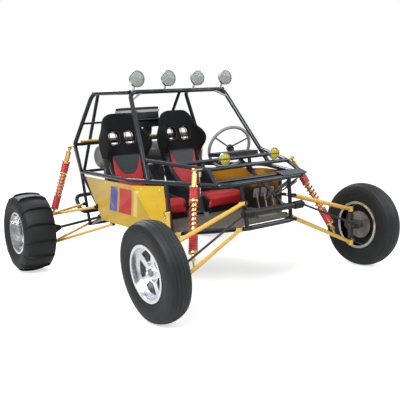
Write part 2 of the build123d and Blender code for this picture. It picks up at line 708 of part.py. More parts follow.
# each end's stand-off from the tube that carries it: outboard, rearward, upward
shock_standoffs = {"front": ((79.0, 2.0, 0.0), (-7.0, 20.0, 62.0)), "rear": ((42.0, 19.0, -26.0), (19.0, -51.0, 26.0))}
# places along the shock from its top eye: body's start, collar, slider, dense coil's start, perch
shock_shares = {"body": 0.045, "collar": 0.20, "slider": 0.36, "dense": 0.74, "perch": 0.93}
shock_ends = {}
for side in (1, -1):
    front_leg = bushings[side, "front_lower"][1][0]
    rear_leg = bushings[side, "rear_upper"][1][1]
    shock_ends[side, "front"] = [along(station("hood_start", side), station("hood_bend", side), front_eye_share),
                                 along(front_leg, arms[side]["front_lower"][2], front_foot_share)]
    shock_ends[side, "rear"] = [station("shock_tower", side),
                                along(rear_leg, arms[side]["rear_upper"][2], rear_foot_share)]
hood_notches = [hood_sleeves[1], hood_sleeves[-1]]
shock_lines = {}
for (side, name), carriers in shock_ends.items():
    shock_lines[side, name] = [carrier + Vector(side * out, back, up)
                               for carrier, (out, back, up) in zip(carriers, shock_standoffs[name])]
for name in ("front", "rear"):
    with BuildPart() as shocks:
        for side in (1, -1):
            upper, lower = shock_lines[side, name]
            way = lower - upper
            at = {key: along(upper, lower, share) for key, share in shock_shares.items()}
            for end in (upper, lower):
                drum(end, Vector(0, 1, 0), eye_radius, 2 * eye_radius)
            rod(upper, at["body"], piston_radius)
            rod(at["body"], at["slider"], damper_radius)
            rod(at["slider"], lower, piston_radius)
            for key in ("collar", "slider", "perch"):
                drum(at[key], way, collar_radius, collar_length)
            rod(upper, shock_ends[side, name][0], bolt_radius)
            rod(lower, shock_ends[side, name][1], bolt_radius)
        for notch in roof_notches + hood_notches + leg_sleeves:
            add(notch, mode=Mode.SUBTRACT)
    write(shocks, name + "_shocks")

# Springs: a short tender coil, the open main coil and a dense lower coil on each shock
spring_radius = 28.0
spring_wire = 10.0
spring_pitch_share = 0.145
tender_turns = 5
dense_turns = 7
for name in ("front", "rear"):
    with BuildPart() as springs:
        for side in (1, -1):
            upper, lower = shock_lines[side, name]
            length = (lower - upper).length
            places = {key: length * share for key, share in shock_shares.items()}
            seat = collar_length / 2 + weld_gap
            for start, end, turns in ((places["collar"] + seat, places["slider"] - seat, tender_turns),
                                      (places["dense"], places["perch"] - seat, dense_turns)):
                outline = ribs(start, end, collar_radius, collar_radius, spring_wire / 2, turns)
                inner = damper_radius + running_gap
                turned(upper, lower, [(start, inner)] + outline + [(end, inner)])
            coil_start = places["slider"] + seat + spring_wire / 2
            coil_height = places["dense"] - spring_wire / 2 - weld_gap - coil_start
            way = (lower - upper).normalized()
            with BuildLine() as coil:
                Helix(coil_height * spring_pitch_share, coil_height, spring_radius,
                      center=upper + way * coil_start, direction=way)
            with BuildSketch(Plane(coil.line @ 0, z_dir=coil.line % 0)) as wire:
                Circle(spring_wire / 2)
            sweep(wire.sketch, path=coil.line, is_frenet=True)
    write(springs, name + "_springs")

# Steering: rack on the nose posts, tie rods with boots, column and wheel
rack_radius = 22.0
rack_half_length = 190.0
rack_forward = 62.0
rack_rod_reach = 90.0
tie_radius = 8.0
tie_drop = 30.0
bracket_width = 24.0
rack_bracket_x = 120.0
boot_radius = 31.0
boot_start = 5.0
pinion_radius = 15.0
pinion_rise = 38.0
pinion_seat = 12.0
pinion_shaft = 8.0
rack_middle = along(station("floor_nose"), station("nose_post_top"), rack_share)
rack_y = rack_middle.Y - rack_forward
column_foot = Vector(rack_bracket_x, rack_y, rack_middle.Z)
seat_x = 300.0
wheel_back = 343.0
wheel_rise = 66.0
dash = station("dash_cross")
wheel_centre = Vector(seat_x, dash.Y + wheel_back, dash.Z + wheel_rise)
column_way = (column_foot - wheel_centre).normalized()
column_reach = (column_foot - wheel_centre).length
with BuildPart() as steering_rack:
    rack_end = Vector(rack_half_length, rack_y, rack_middle.Z)
    rod(Vector(-rack_end.X, rack_end.Y, rack_end.Z), rack_end, rack_radius)
    for side in (1, -1):
        with Locations((side * rack_bracket_x, (rack_y + rack_middle.Y) / 2, rack_middle.Z)):
            Box(bracket_width, rack_forward, bracket_width)
    rod(column_foot, column_foot - column_way * pinion_rise, pinion_radius)
    drum(Vector(0, rack_y, rack_middle.Z), Vector(1, 0, 0), tie_radius + 2 * running_gap,
         2 * (rack_half_length + cut_overrun), Mode.SUBTRACT)
    rod(column_foot - column_way * pinion_seat, wheel_centre, pinion_shaft + running_gap, Mode.SUBTRACT)
    add(rack_cross_sleeve, mode=Mode.SUBTRACT)
write(steering_rack, "steering_rack")

with BuildPart() as tie_rods:
    rod(Vector(-rack_half_length - rack_rod_reach, rack_y, rack_middle.Z),
        Vector(rack_half_length + rack_rod_reach, rack_y, rack_middle.Z), tie_radius)
    for side in (1, -1):
        joint = Vector(side * (rack_half_length + rack_rod_reach), rack_y, rack_middle.Z)
        boot_root = Vector(side * (rack_half_length + boot_start), rack_y, rack_middle.Z)
        boot_length = rack_rod_reach - boot_start
        boot_bore = rack_radius + turning_gap / 2
        boot_edge = ribs(0, boot_length, boot_radius, boot_radius, boot_rib, 6)
        turned(boot_root, joint, [(0, boot_bore)] + boot_edge
               + [(boot_length, 0), (boot_length - boot_rib, 0), (boot_length - boot_rib, boot_bore)])
        root = front_planes[side].from_local_coords((-knuckle_inset, steer_arm_rise, 0))
        tip = root + Vector(0, -steer_arm_forward, -tie_drop)
        drum(joint, Vector(1, 0, 0), 2 * tie_radius, 4 * tie_radius)
        rod(joint, tip, tie_radius)
        drum(tip, Vector(0, 0, 1), 1.6 * tie_radius, 2.2 * tie_radius)
write(tie_rods, "tie_rods")

wheel_radius = 187.0
wheel_rim_radius = 13.0
column_radius = 14.0
wheel_hub_radius = 30.0
column_share = 0.84
wheel_tilt = Plane(wheel_centre, x_dir=(1, 0, 0), z_dir=-column_way)
column_end = wheel_centre + column_way * (column_reach * column_share)
with BuildPart() as steering_wheel:
    with BuildSketch(Plane(wheel_tilt.origin, x_dir=wheel_tilt.z_dir, z_dir=wheel_tilt.x_dir)) as ring:
        with Locations((0, wheel_radius)):
            Circle(wheel_rim_radius)
    revolve(ring.sketch, axis=Axis(wheel_centre, column_way))
    for turn in (90, 210, 330):
        rod(wheel_centre, wheel_tilt.from_local_coords((wheel_radius * cos(radians(turn)),
                                                        wheel_radius * sin(radians(turn)), 0)), wheel_rim_radius / 2)
    rod(wheel_centre, wheel_centre + column_way * wheel_hub_radius, wheel_hub_radius)
    rod(wheel_centre, column_end, column_radius)
    drum(column_end, column_way, 1.3 * column_radius, 2 * column_radius)
    rod(column_end, wheel_centre + column_way * (column_reach - pinion_seat - running_gap), pinion_shaft)
write(steering_wheel, "steering_wheel")

# Column bearing, hung from the dash cross tube
bearing_share = 0.41
bearing_radius = 24.0
bearing_half = 30.0
bearing_middle = wheel_centre + column_way * (column_reach * bearing_share)
with BuildPart() as column_bracket:
    drum(bearing_middle, column_way, bearing_radius, 2 * bearing_half)
    rod(bearing_middle, Vector(bearing_middle.X, dash.Y, dash.Z), column_radius)
    rod(wheel_centre, column_end, column_radius + running_gap, Mode.SUBTRACT)
    add(sleeve(*hood_crossings[0]), mode=Mode.SUBTRACT)
write(column_bracket, "column_bracket")

# Pedal box: a foot plate with lugs, three pedals on a shaft, and two cylinders under the belt's nose
pedal_x = 262.0
pedal_back = 165.0
pedal_rise = 40.0
pedal_height = 190.0
pedal_shaft = 7.0
pedal_rod = 6.0
pedal_pad = 56.0
pedal_plate = 5.0
cylinder_radius = 15.0
cylinder_length = 110.0
cylinder_drop = 44.0
rod_reach_share = 0.62
# places across the box from its middle, as shares of its span
pedal_shares = {"pads": (-0.32, 0.0, 0.32), "lugs": (-0.48, 0.48), "rods": (0.0, 0.32)}
pedal_span = 240.0
slope_plane = Plane((pedal_x, front.Y, floor_top), x_dir=(-1, 0, 0), z_dir=(0, slope.Z, -slope.Y))
shaft_middle = slope_plane.from_local_coords((0, pedal_back, pedal_rise))
pad_middle = slope_plane.from_local_coords((0, pedal_back - pedal_rise / 2, pedal_height))
cylinder_top = Vector(0, station("belt_nose").Y + cylinder_drop, station("belt_nose").Z - cylinder_drop)
with BuildPart() as pedal_box:
    with BuildSketch(slope_plane.offset(weld_gap)) as foot_plate:
        with Locations((0, pedal_back)):
            Rectangle(pedal_span, 2 * pedal_rise)
    extrude(foot_plate.sketch, amount=pedal_plate)
    drum(shaft_middle, Vector(1, 0, 0), pedal_shaft, pedal_span)
    for share in pedal_shares["lugs"]:
        with BuildSketch(Plane(slope_plane.from_local_coords((share * pedal_span - pedal_plate / 2, pedal_back, 0)),
                               x_dir=(0, slope.Y, slope.Z), z_dir=(-1, 0, 0))) as lug:
            with Locations((0, pedal_rise / 2 + weld_gap)):
                Rectangle(pedal_rise, pedal_rise)
            with Locations((0, pedal_rise)):
                Circle(pedal_rise / 2)
        extrude(lug.sketch, amount=pedal_plate)
    for share in pedal_shares["pads"]:
        shift = Vector(share * pedal_span, 0, 0)
        rod(shaft_middle + shift, pad_middle + shift, pedal_rod)
        with BuildSketch(Plane(pad_middle + shift, x_dir=(1, 0, 0), z_dir=pad_middle - shaft_middle
                               + Vector(0, 3 * pedal_height, 0))) as pad:
            RectangleRounded(pedal_pad, 1.3 * pedal_pad, pedal_pad / 8)
        extrude(pad.sketch, amount=pedal_plate)
    for share in pedal_shares["rods"]:
        shift = Vector(share * pedal_span, 0, 0)
        push_start = along(shaft_middle, pad_middle, rod_reach_share) + shift
        push_end = Vector(push_start.X, cylinder_top.Y, cylinder_top.Z)
        rod(push_start, push_end, pedal_rod)
        push_way = (push_end - push_start).normalized()
        rod(push_end - push_way * cylinder_length, push_end, cylinder_radius)
        rod(push_end - push_way * cylinder_radius, Vector(push_end.X, station("belt_nose").Y, station("belt_nose").Z),
            pedal_rod)
    add(belt_sleeve, mode=Mode.SUBTRACT)
write(pedal_box, "pedal_box")

# Seats: a bucket with side bolsters, shoulder wings, a cushion and two harness holes
seat_width = 410.0
shoulder_width = 456.0
head_width = 290.0
seat_front_y = -190.0
seat_back_y = 418.0
seat_top_y = 587.0
seat_top_z = 1375.0
seat_cushion = 130.0
seat_back_thickness = 75.0
bolster_width = 50.0
bolster_rise = 85.0
wing_reach = 170.0
hole_width = 100.0
hole_height = 118.0
hole_spacing = 160.0
hole_share = 0.751
# shares of the back's length at which its outline turns: waist, shoulder, neck, crown
back_shares = (0.55, 0.66, 0.80, 0.885, 0.93)
seat_floor = floor_top + 2 * running_gap
back_line = Vector(0, seat_top_y - seat_back_y, seat_top_z - seat_floor)
for side, word in ((1, "left"), (-1, "right")):
    back_plane = Plane(Vector(side * seat_x, seat_back_y, seat_floor), x_dir=(1, 0, 0),
                       z_dir=(0, -back_line.Z, back_line.Y))
    waist, shoulder, neck, temple, crown = [back_line.length * share for share in back_shares]
    edge = [(seat_width / 2, 0), (seat_width / 2, waist), (shoulder_width / 2, shoulder), (shoulder_width / 2, neck),
            (head_width / 2, temple), (head_width / 2, crown)]
    with BuildPart() as seat:
        with BuildSketch(back_plane) as back:
            with BuildLine():
                Polyline(*edge)
                ThreePointArc(edge[-1], (0, back_line.length), (-edge[-1][0], edge[-1][1]))
                Polyline(*[(-x, y) for x, y in reversed(edge)], edge[0])
            make_face()
            with Locations((hole_spacing / 2, back_line.length * hole_share),
                           (-hole_spacing / 2, back_line.length * hole_share)):
                RectangleRounded(hole_width, hole_height, hole_width / 4, mode=Mode.SUBTRACT)
        extrude(back.sketch, amount=seat_back_thickness)
        with BuildSketch(Plane.YZ.offset(side * seat_x - seat_width / 2)) as cushion:
            with BuildLine():
                Polyline((seat_front_y, seat_floor), (seat_back_y, seat_floor),
                         (seat_back_y, seat_floor + 0.7 * seat_cushion), (seat_front_y, seat_floor + seat_cushion),
                         close=True)
            make_face()
        extrude(cushion.sketch, amount=seat_width)
        for edge_x in (-seat_width / 2, seat_width / 2 - bolster_width):
            with BuildSketch(Plane.YZ.offset(side * seat_x + edge_x)) as bolster:
                with BuildLine():
                    Polyline((seat_front_y, seat_floor), (seat_back_y, seat_floor),
                             (seat_back_y + 0.66 * back_line.Y, seat_floor + 0.66 * back_line.Z),
                             (seat_back_y + 0.45 * back_line.Y - 2 * bolster_rise, seat_floor + 0.50 * back_line.Z),
                             (seat_back_y - 2.6 * bolster_rise, seat_floor + seat_cushion + bolster_rise),
                             (seat_front_y, seat_floor + seat_cushion + bolster_rise / 3), close=True)
                make_face()
            extrude(bolster.sketch, amount=bolster_width)
        for edge_x in (-shoulder_width / 2, shoulder_width / 2 - bolster_width):
            with BuildSketch(Plane.YZ.offset(side * seat_x + edge_x)) as wing:
                with BuildLine():
                    Polyline((seat_back_y + 0.60 * back_line.Y, seat_floor + 0.60 * back_line.Z),
                             (seat_back_y + 0.80 * back_line.Y, seat_floor + 0.80 * back_line.Z),
                             (seat_back_y + 0.78 * back_line.Y - seat_back_thickness,
                              seat_floor + 0.80 * back_line.Z),
                             (seat_back_y + 0.66 * back_line.Y - seat_back_thickness - wing_reach,
                              seat_floor + 0.68 * back_line.Z),
                             (seat_back_y + 0.55 * back_line.Y - seat_back_thickness - wing_reach,
                              seat_floor + 0.58 * back_line.Z), close=True)
                make_face()
            extrude(wing.sketch, amount=bolster_width)
        split(bisect_by=Plane.XY.offset(seat_floor), keep=Keep.TOP)
    write(seat, "seat_" + word)

# Engine, gearbox, exhaust, tank and intake behind the seats
engine_width = 460.0
engine_length = 380.0
engine_height = 420.0
engine_forward = 207.0
engine_round = 30.0
engine_y = rear_axle_y - engine_forward
engine_front = engine_y - engine_length / 2
cradle_drop = (engine_front - station("floor_tail").Y) / (station("tail_low").Y - station("floor_tail").Y)
engine_low = along(station("floor_tail"), station("tail_low"), cradle_drop).Z + brace_tube / 2 + 3 * weld_gap
engine_middle = Vector(0, engine_y, engine_low + engine_height / 2)
with BuildPart() as engine_block:
    with Locations(engine_middle):
        Box(engine_width, engine_length, engine_height)
    chamfer(engine_block.edges().filter_by(Axis.Y), length=engine_round)
write(engine_block, "engine_block")

gearbox_width = 2 * (output_x - inner_joint_gap)
gearbox_length = 80.0
gearbox_radius = 60.0
gearbox_height = 180.0
with BuildPart() as gearbox:
    for width, radius in ((gearbox_width, gearbox_radius / 2), (gearbox_width / 2, gearbox_radius)):
        with BuildSketch(Plane.YZ.offset(-width / 2)) as housing:
            with Locations((output_y, output_z)):
                Circle(radius)
        extrude(housing.sketch, amount=width)
    with Locations((0, engine_y + engine_length / 2 + weld_gap + gearbox_length / 2, output_z + gearbox_radius)):
        Box(engine_width / 2, gearbox_length, gearbox_height)
    with Locations(engine_middle):
        Box(engine_width + 2 * weld_gap, engine_length + 2 * weld_gap, engine_height + 2 * weld_gap,
            mode=Mode.SUBTRACT)
write(gearbox, "gearbox")

muffler_radius = 56.0
muffler_length = 340.0
muffler_gap = 12.0
muffler_drop = 185.0
exhaust_pipe = 19.0
exhaust_wall = 2.0
tail_pipe_length = 120.0
engine_back = engine_y + engine_length / 2
muffler_middle = Vector(0, engine_back + muffler_gap + muffler_radius,
                        engine_middle.Z + engine_height / 2 - muffler_drop)
with BuildPart() as exhaust:
    drum(muffler_middle, Vector(1, 0, 0), muffler_radius, muffler_length)
    fillet(exhaust.edges(), radius=muffler_radius / 4)
    for share in (-0.3, 0.3):
        port = Vector(share * muffler_length, engine_back + weld_gap, muffler_middle.Z - muffler_radius / 2)
        rod(port, Vector(port.X, muffler_middle.Y, port.Z), exhaust_pipe)
    tail_root = muffler_middle + Vector(-muffler_length / 3, 0, 0)
    rod(tail_root, tail_root + Vector(0, tail_pipe_length, 0), exhaust_pipe)
    rod(tail_root + Vector(0, muffler_radius, 0), tail_root + Vector(0, tail_pipe_length + cut_overrun, 0),
        exhaust_pipe - exhaust_wall, Mode.SUBTRACT)
write(exhaust, "exhaust")

tank_radius = 105.0
tank_half_length = 430.0
tank_back = 78.0
tank_drop = 136.0
tank_dome = 35.0
tank_flat_share = 0.35
tank_dome_share = 0.35
tank_dome_radius_share = 0.80
tower = station("shock_tower")
tank_y = tower.Y + tank_back
tank_z = tower.Z - tank_drop
tank_plane = Plane((0, tank_y, tank_z), x_dir=(1, 0, 0), z_dir=(0, -1, 0))
with BuildPart() as fuel_tank:
    with BuildSketch(tank_plane) as tank_outline:
        with BuildLine():
            barrel_end = tank_half_length - tank_dome
            flat = tank_flat_share * tank_radius
            shoulder = (tank_half_length - tank_dome * tank_dome_share, tank_dome_radius_share * tank_radius)
            Polyline((-tank_half_length, flat), (-tank_half_length, 0), (tank_half_length, 0), (tank_half_length, flat))
            ThreePointArc((tank_half_length, flat), shoulder, (barrel_end, tank_radius))
            Line((barrel_end, tank_radius), (-barrel_end, tank_radius))
            ThreePointArc((-barrel_end, tank_radius), (-shoulder[0], shoulder[1]), (-tank_half_length, flat))
        make_face()
    revolve(tank_outline.sketch, axis=Axis((0, tank_y, tank_z), (1, 0, 0)))
write(fuel_tank, "fuel_tank")

# Tank frame: a bar on the tower's cross tube and two bands that hang the tank from it
tank_bar_tube = 18.0
tank_bar_share = 0.91
tank_band = 26.0
tank_band_thickness = 4.0
tank_band_share = 0.88
bar_lift = (brace_tube + tank_bar_tube) / 2 + weld_gap
with BuildPart() as tank_frame:
    bar_end = Vector(tank_bar_share * tower.X, tower.Y, tower.Z + bar_lift)
    rod(Vector(-bar_end.X, bar_end.Y, bar_end.Z), bar_end, tank_bar_tube / 2)
    for share in (tank_band_share, -tank_band_share):
        middle = Vector(share * tank_half_length, tank_y, tank_z)
        drum(middle, Vector(1, 0, 0), tank_radius + weld_gap + tank_band_thickness, tank_band)
        rod(middle, Vector(middle.X, tower.Y, tower.Z), tank_band / 3)
    drum(Vector(0, tank_y, tank_z), Vector(1, 0, 0), tank_radius + weld_gap, 2 * tank_half_length, Mode.SUBTRACT)
    for notch in [tower_sleeve] + roof_notches:
        add(notch, mode=Mode.SUBTRACT)
write(tank_frame, "tank_frame")

air_box_size = (400.0, 150.0, 190.0)
air_box_shift = 20.0
air_lid_height = 24.0
air_lid_edge = 6.0
air_bar = air_bar_run[0][0]
with BuildPart() as air_box:
    box_middle = Vector(air_box_shift, air_bar.Y + (air_bar_tube + air_box_size[1]) / 2 + weld_gap,
                        air_bar.Z + air_box_size[2] / 8)
    with Locations(box_middle):
        Box(*air_box_size)
    with Locations(box_middle + Vector(0, 0, air_box_size[2] / 2 - 1.5 * air_lid_height)):
        Box(air_box_size[0] + 2 * air_lid_edge, air_box_size[1] + 2 * air_lid_edge, air_lid_height)
    fillet(air_box.edges().filter_by(Axis.Z), radius=air_box_size[1] / 6)
write(air_box, "air_box")

# Lamps: four on the hoop's header, two on the nose cross tube
roof_lamp_radius = 66.0
roof_lamp_depth = 75.0
roof_lamp_forward = 66.0
roof_lamp_shares = (-0.94, -0.31, 0.31, 0.94)
fog_lamp_radius = 45.0
fog_lamp_depth = 62.0
fog_lamp_back = 8.0
fog_lamp_share = 0.63
foot_radius = 9.0
lamp_wall = 4.0
bezel_length = 10.0
bowl_share = 0.45
header = station("hoop_top")


def lamp(face, radius, depth, carrier):
    # a bowl that opens forward at face, with a bezel, on a foot from its carrier tube
    back = face + Vector(0, depth, 0)
    middle = along(face, back, 0.5)
    rod(carrier, middle, foot_radius)
    turned(face, back, [(0, 0), (0, radius), (bezel_length, radius), (bezel_length, radius - lamp_wall / 2),
                        (depth / 3, radius - lamp_wall / 2), (0.85 * depth, 0.55 * radius), (depth, 0.3 * radius),
                        (depth, 0)])
    turned(face, back, [(0, 0), (0, radius - lamp_wall), (bezel_length, radius - lamp_wall),
                        (bowl_share * depth, 0.35 * radius), (bowl_share * depth, 0)], Mode.SUBTRACT)


with BuildPart() as roof_lamps:
    for share in roof_lamp_shares:
        face = Vector(share * header.X, header.Y - roof_lamp_forward - roof_lamp_depth / 3,
                      header.Z + main_tube / 2 + 1.2 * roof_lamp_radius)
        lamp(face, roof_lamp_radius, roof_lamp_depth, Vector(face.X, header.Y, header.Z))
    add(hoop_sleeve, mode=Mode.SUBTRACT)
write(roof_lamps, "roof_lamps")

nose_cross = station("hood_bend")
with BuildPart() as fog_lamps:
    for side in (1, -1):
        face = Vector(side * fog_lamp_share * nose_cross.X, nose_cross.Y + fog_lamp_back - fog_lamp_depth / 2,
                      nose_cross.Z + brace_tube / 2 + 1.08 * fog_lamp_radius)
        lamp(face, fog_lamp_radius, fog_lamp_depth, Vector(face.X, nose_cross.Y, nose_cross.Z))
    add(sleeve(*hood_crossings[1]), mode=Mode.SUBTRACT)
write(fog_lamps, "fog_lamps")

# Dash shelf: a sheet tray with lips turned down front and rear
dash_depth = 200.0
dash_width = 360.0
dash_height = 30.0
dash_sheet = 3.0
with BuildPart() as dash_panel:
    tray_middle = Vector(seat_x / 2, dash.Y + dash_depth / 2, dash.Z + brace_tube / 2 + weld_gap + dash_height / 2)
    with Locations(tray_middle):
        Box(dash_width, dash_depth, dash_height)
    fillet(dash_panel.edges().filter_by(Axis.Z), radius=dash_height / 2)
    with Locations(tray_middle - Vector(0, 0, dash_sheet)):
        Box(dash_width - 2 * dash_sheet, dash_depth - 2 * dash_sheet, dash_height, mode=Mode.SUBTRACT)
write(dash_panel, "dash_panel")

lever_radius = 8.0
lever_knob = 20.0
lever_base_width = 50.0
lever_height = 354.0
lever_lean = 12.0
lever_back = -169.0
lever_foot = Vector(0, station("floor_kink").Y + lever_back, floor_top + weld_gap)
lever_top = lever_foot + Vector(0, -lever_lean, lever_height)
with BuildPart() as shift_lever:
    rod(lever_foot, lever_top, lever_radius)
    drum(lever_top, lever_top - lever_foot, lever_knob, 2 * lever_knob)
    with Locations(lever_foot + Vector(0, 0, lever_knob)):
        Box(lever_base_width, 8 * lever_knob, 2 * lever_knob)
write(shift_lever, "shift_lever")
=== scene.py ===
# Two-seat off-road kart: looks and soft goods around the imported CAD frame.
# Forward is -Y, the vehicle's left is +X and up is +Z, all in metres.
import json
from math import copysign, cos, pi, radians, sin
import bmesh
import bpy
from mathutils import Matrix, Vector
from mathutils.geometry import interpolate_bezier


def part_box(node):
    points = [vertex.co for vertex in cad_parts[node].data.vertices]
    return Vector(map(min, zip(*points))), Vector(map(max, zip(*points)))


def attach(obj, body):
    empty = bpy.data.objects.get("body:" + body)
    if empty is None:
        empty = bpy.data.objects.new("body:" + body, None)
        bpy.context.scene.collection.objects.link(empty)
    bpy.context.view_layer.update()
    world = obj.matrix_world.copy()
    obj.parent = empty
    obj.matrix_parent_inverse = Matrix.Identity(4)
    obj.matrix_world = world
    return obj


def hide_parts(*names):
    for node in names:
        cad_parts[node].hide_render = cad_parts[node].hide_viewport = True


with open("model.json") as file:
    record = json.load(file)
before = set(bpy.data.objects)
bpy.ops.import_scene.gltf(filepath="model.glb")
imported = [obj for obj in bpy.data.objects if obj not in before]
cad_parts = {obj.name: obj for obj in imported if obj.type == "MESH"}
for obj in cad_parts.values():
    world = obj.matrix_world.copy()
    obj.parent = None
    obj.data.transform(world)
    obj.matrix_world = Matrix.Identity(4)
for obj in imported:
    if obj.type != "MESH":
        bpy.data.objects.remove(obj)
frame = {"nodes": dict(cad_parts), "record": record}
nodes = frame["nodes"]
scene = bpy.context.scene
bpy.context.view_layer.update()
print("frame loaded:", len(nodes), "nodes")

# camera, at the photo's viewing angle
cameraView = {"yaw": 34.90, "pitch": 7.54, "roll": -3.93, "place": (-2.914, -4.406, 1.282),
              "focalPixels": 612.8, "photoPixels": 400, "sensor": 36.0}


def addObject(name, data):
    thing = bpy.data.objects.new(name, data)
    scene.collection.objects.link(thing)
    return thing


def placeAt(origin, first, second, third):
    # the place whose own axes are the three given
    return Matrix.Translation(origin) @ Matrix((first, second, third)).transposed().to_4x4()


def makeCamera(view):
    yaw, pitch, roll = (radians(view[name]) for name in ("yaw", "pitch", "roll"))
    ahead = Vector((sin(yaw) * cos(pitch), cos(yaw) * cos(pitch), -sin(pitch)))
    level = Vector((cos(yaw), -sin(yaw), 0))
    above = level.cross(ahead)
    right = level * cos(roll) + above * sin(roll)
    up = above * cos(roll) - level * sin(roll)
    data = bpy.data.cameras.new("photoCamera")
    data.sensor_width = view["sensor"]
    data.lens = view["sensor"] * view["focalPixels"] / view["photoPixels"]
    camera = addObject("photoCamera", data)
    camera.matrix_world = placeAt(view["place"], right, up, -ahead)
    scene.camera = camera


makeCamera(cameraView)

# small helpers for node trees: a socket in inputs is linked, anything else is set on the socket


def wire(tree, kind, inputs=None, **settings):
    node = tree.nodes.new(kind)
    for name, value in settings.items():
        setattr(node, name, value)
    for name, value in (inputs or {}).items():
        if isinstance(value, bpy.types.NodeSocket):
            tree.links.new(value, node.inputs[name])
        else:
            node.inputs[name].default_value = value
    return node


def calc(tree, operation, first, second=0.0, clamp=False):
    node = wire(tree, "ShaderNodeMath", {0: first, 1: second}, operation=operation, use_clamp=clamp)
    return node.outputs[0]


def times(tree, first, second, clamp=False):
    return calc(tree, "MULTIPLY", first, second, clamp)


def plus(tree, first, second, clamp=False):
    return calc(tree, "ADD", first, second, clamp)


def minus(tree, first, second, clamp=False):
    return calc(tree, "SUBTRACT", first, second, clamp)


def objectCoords(tree):
    return tree.nodes.new("ShaderNodeTexCoord").outputs["Object"]


def axesOf(tree, value):
    return wire(tree, "ShaderNodeSeparateXYZ", {0: value}).outputs


def mixColours(tree, mask, first, second):
    return wire(tree, "ShaderNodeMix", {0: mask, 6: first, 7: second}, data_type="RGBA").outputs[2]


def noise(tree, coords, scale, detail=4.0):
    node = wire(tree, "ShaderNodeTexNoise", {"Vector": coords, "Scale": scale, "Detail": detail})
    return node.outputs["Fac"]


def newTree(name, kind, inputs, outputs):
    tree = bpy.data.node_groups.new(name, kind)
    for label, socketType, value in inputs:
        socket = tree.interface.new_socket(label, in_out="INPUT", socket_type=socketType)
        if value is not None:
            socket.default_value = value
    for label, socketType in outputs:
        tree.interface.new_socket(label, in_out="OUTPUT", socket_type=socketType)
    return tree, tree.nodes.new("NodeGroupInput").outputs, tree.nodes.new("NodeGroupOutput")


# studio: pale floor, white surroundings and three soft lamps
studio = {"floorSize": 80.0, "floorColour": (0.80, 0.80, 0.80, 1), "floorGlow": 0.63, "worldStrength": 0.46,
          "lampAim": (0, 0, 0.7), "skyRise": 1.6, "skyLow": 0.1,
          "skyDark": (0.10, 0.12, 0.14, 1), "skyBright": (0.80, 0.92, 1.04, 1),
          "lamps": {"keyLight": ((-4.5, -3.5, 5.5), (3.0, 3.0), 430),
                    "fillLight": ((4.5, -4.0, 3.5), (3.0, 3.0), 110),
                    "rearLight": ((1.0, 5.5, 4.5), (3.0, 2.0), 200)}}


def rayTests(tree):
    # the light path's outputs, and whether the camera sees the point, straight or through glass
    rays = tree.nodes.new("ShaderNodeLightPath").outputs
    return rays, calc(tree, "MAXIMUM", rays["Is Camera Ray"], rays["Is Transmission Ray"])


def makeStudio(options):
    scene.view_settings.view_transform = "Standard"
    half = options["floorSize"] / 2
    mesh = bpy.data.meshes.new("floor")
    corners = [(-half, -half, 0), (half, -half, 0), (half, half, 0), (-half, half, 0)]
    mesh.from_pydata(corners, [], [(0, 1, 2, 3)])
    floor = addObject("floor", mesh)
    paint = bpy.data.materials.new("floorPaint")
    paint.use_nodes = True
    tree = paint.node_tree
    tree.nodes.clear()
    seen = rayTests(tree)[1]
    glow = wire(tree, "ShaderNodeEmission", {"Strength": times(tree, seen, options["floorGlow"])})
    matt = wire(tree, "ShaderNodeBsdfDiffuse", {"Color": options["floorColour"]})
    both = wire(tree, "ShaderNodeAddShader", {0: matt.outputs[0], 1: glow.outputs[0]})
    wire(tree, "ShaderNodeOutputMaterial", {"Surface": both.outputs[0]})
    mesh.materials.append(paint)
    world = bpy.data.worlds.new("studio")
    world.use_nodes = True
    sky = world.node_tree
    sky.nodes.clear()
    rays, seen = rayTests(sky)
    toward = axesOf(sky, sky.nodes.new("ShaderNodeTexCoord").outputs["Generated"])
    height = plus(sky, times(sky, toward["Z"], options["skyRise"]), options["skyLow"], clamp=True)
    mirrored = mixColours(sky, height, options["skyDark"], options["skyBright"])
    dim = wire(sky, "ShaderNodeBackground", {"Strength": options["worldStrength"], "Color": (1, 1, 1, 1)})
    mirror = wire(sky, "ShaderNodeBackground", {"Strength": 1.0, "Color": mirrored})
    white = wire(sky, "ShaderNodeBackground", {"Strength": 1.0, "Color": (1, 1, 1, 1)})
    reflected = wire(sky, "ShaderNodeMixShader",
                     {0: rays["Is Glossy Ray"], 1: dim.outputs[0], 2: mirror.outputs[0]})
    choose = wire(sky, "ShaderNodeMixShader", {0: seen, 1: reflected.outputs[0], 2: white.outputs[0]})
    wire(sky, "ShaderNodeOutputWorld", {"Surface": choose.outputs[0]})
    scene.world = world
    for name, (place, size, power) in options["lamps"].items():
        data = bpy.data.lights.new(name, "AREA")
        data.shape = "RECTANGLE"
        data.size, data.size_y = size
        data.energy = power
        lamp = addObject(name, data)
        lamp.location = place
        lamp.rotation_euler = (Vector(options["lampAim"]) - Vector(place)).to_track_quat("-Z", "Y").to_euler()


makeStudio(studio)
print("camera and studio made")

# shader groups that several finishes share
weatherLook = {"patchDetail": 6.0, "wornStart": 0.9, "wornGain": 5.0, "upGain": 0.6, "dustScale": 7.0,
               "dustDetail": 8.0, "dustGain": 1.8, "roughSpread": 0.2,
               "dustRoughness": 0.4, "grainDetail": 2.0}
weaveLook = {"patchScale": 9.0, "patchDetail": 5.0}
coatRoughness = 0.12


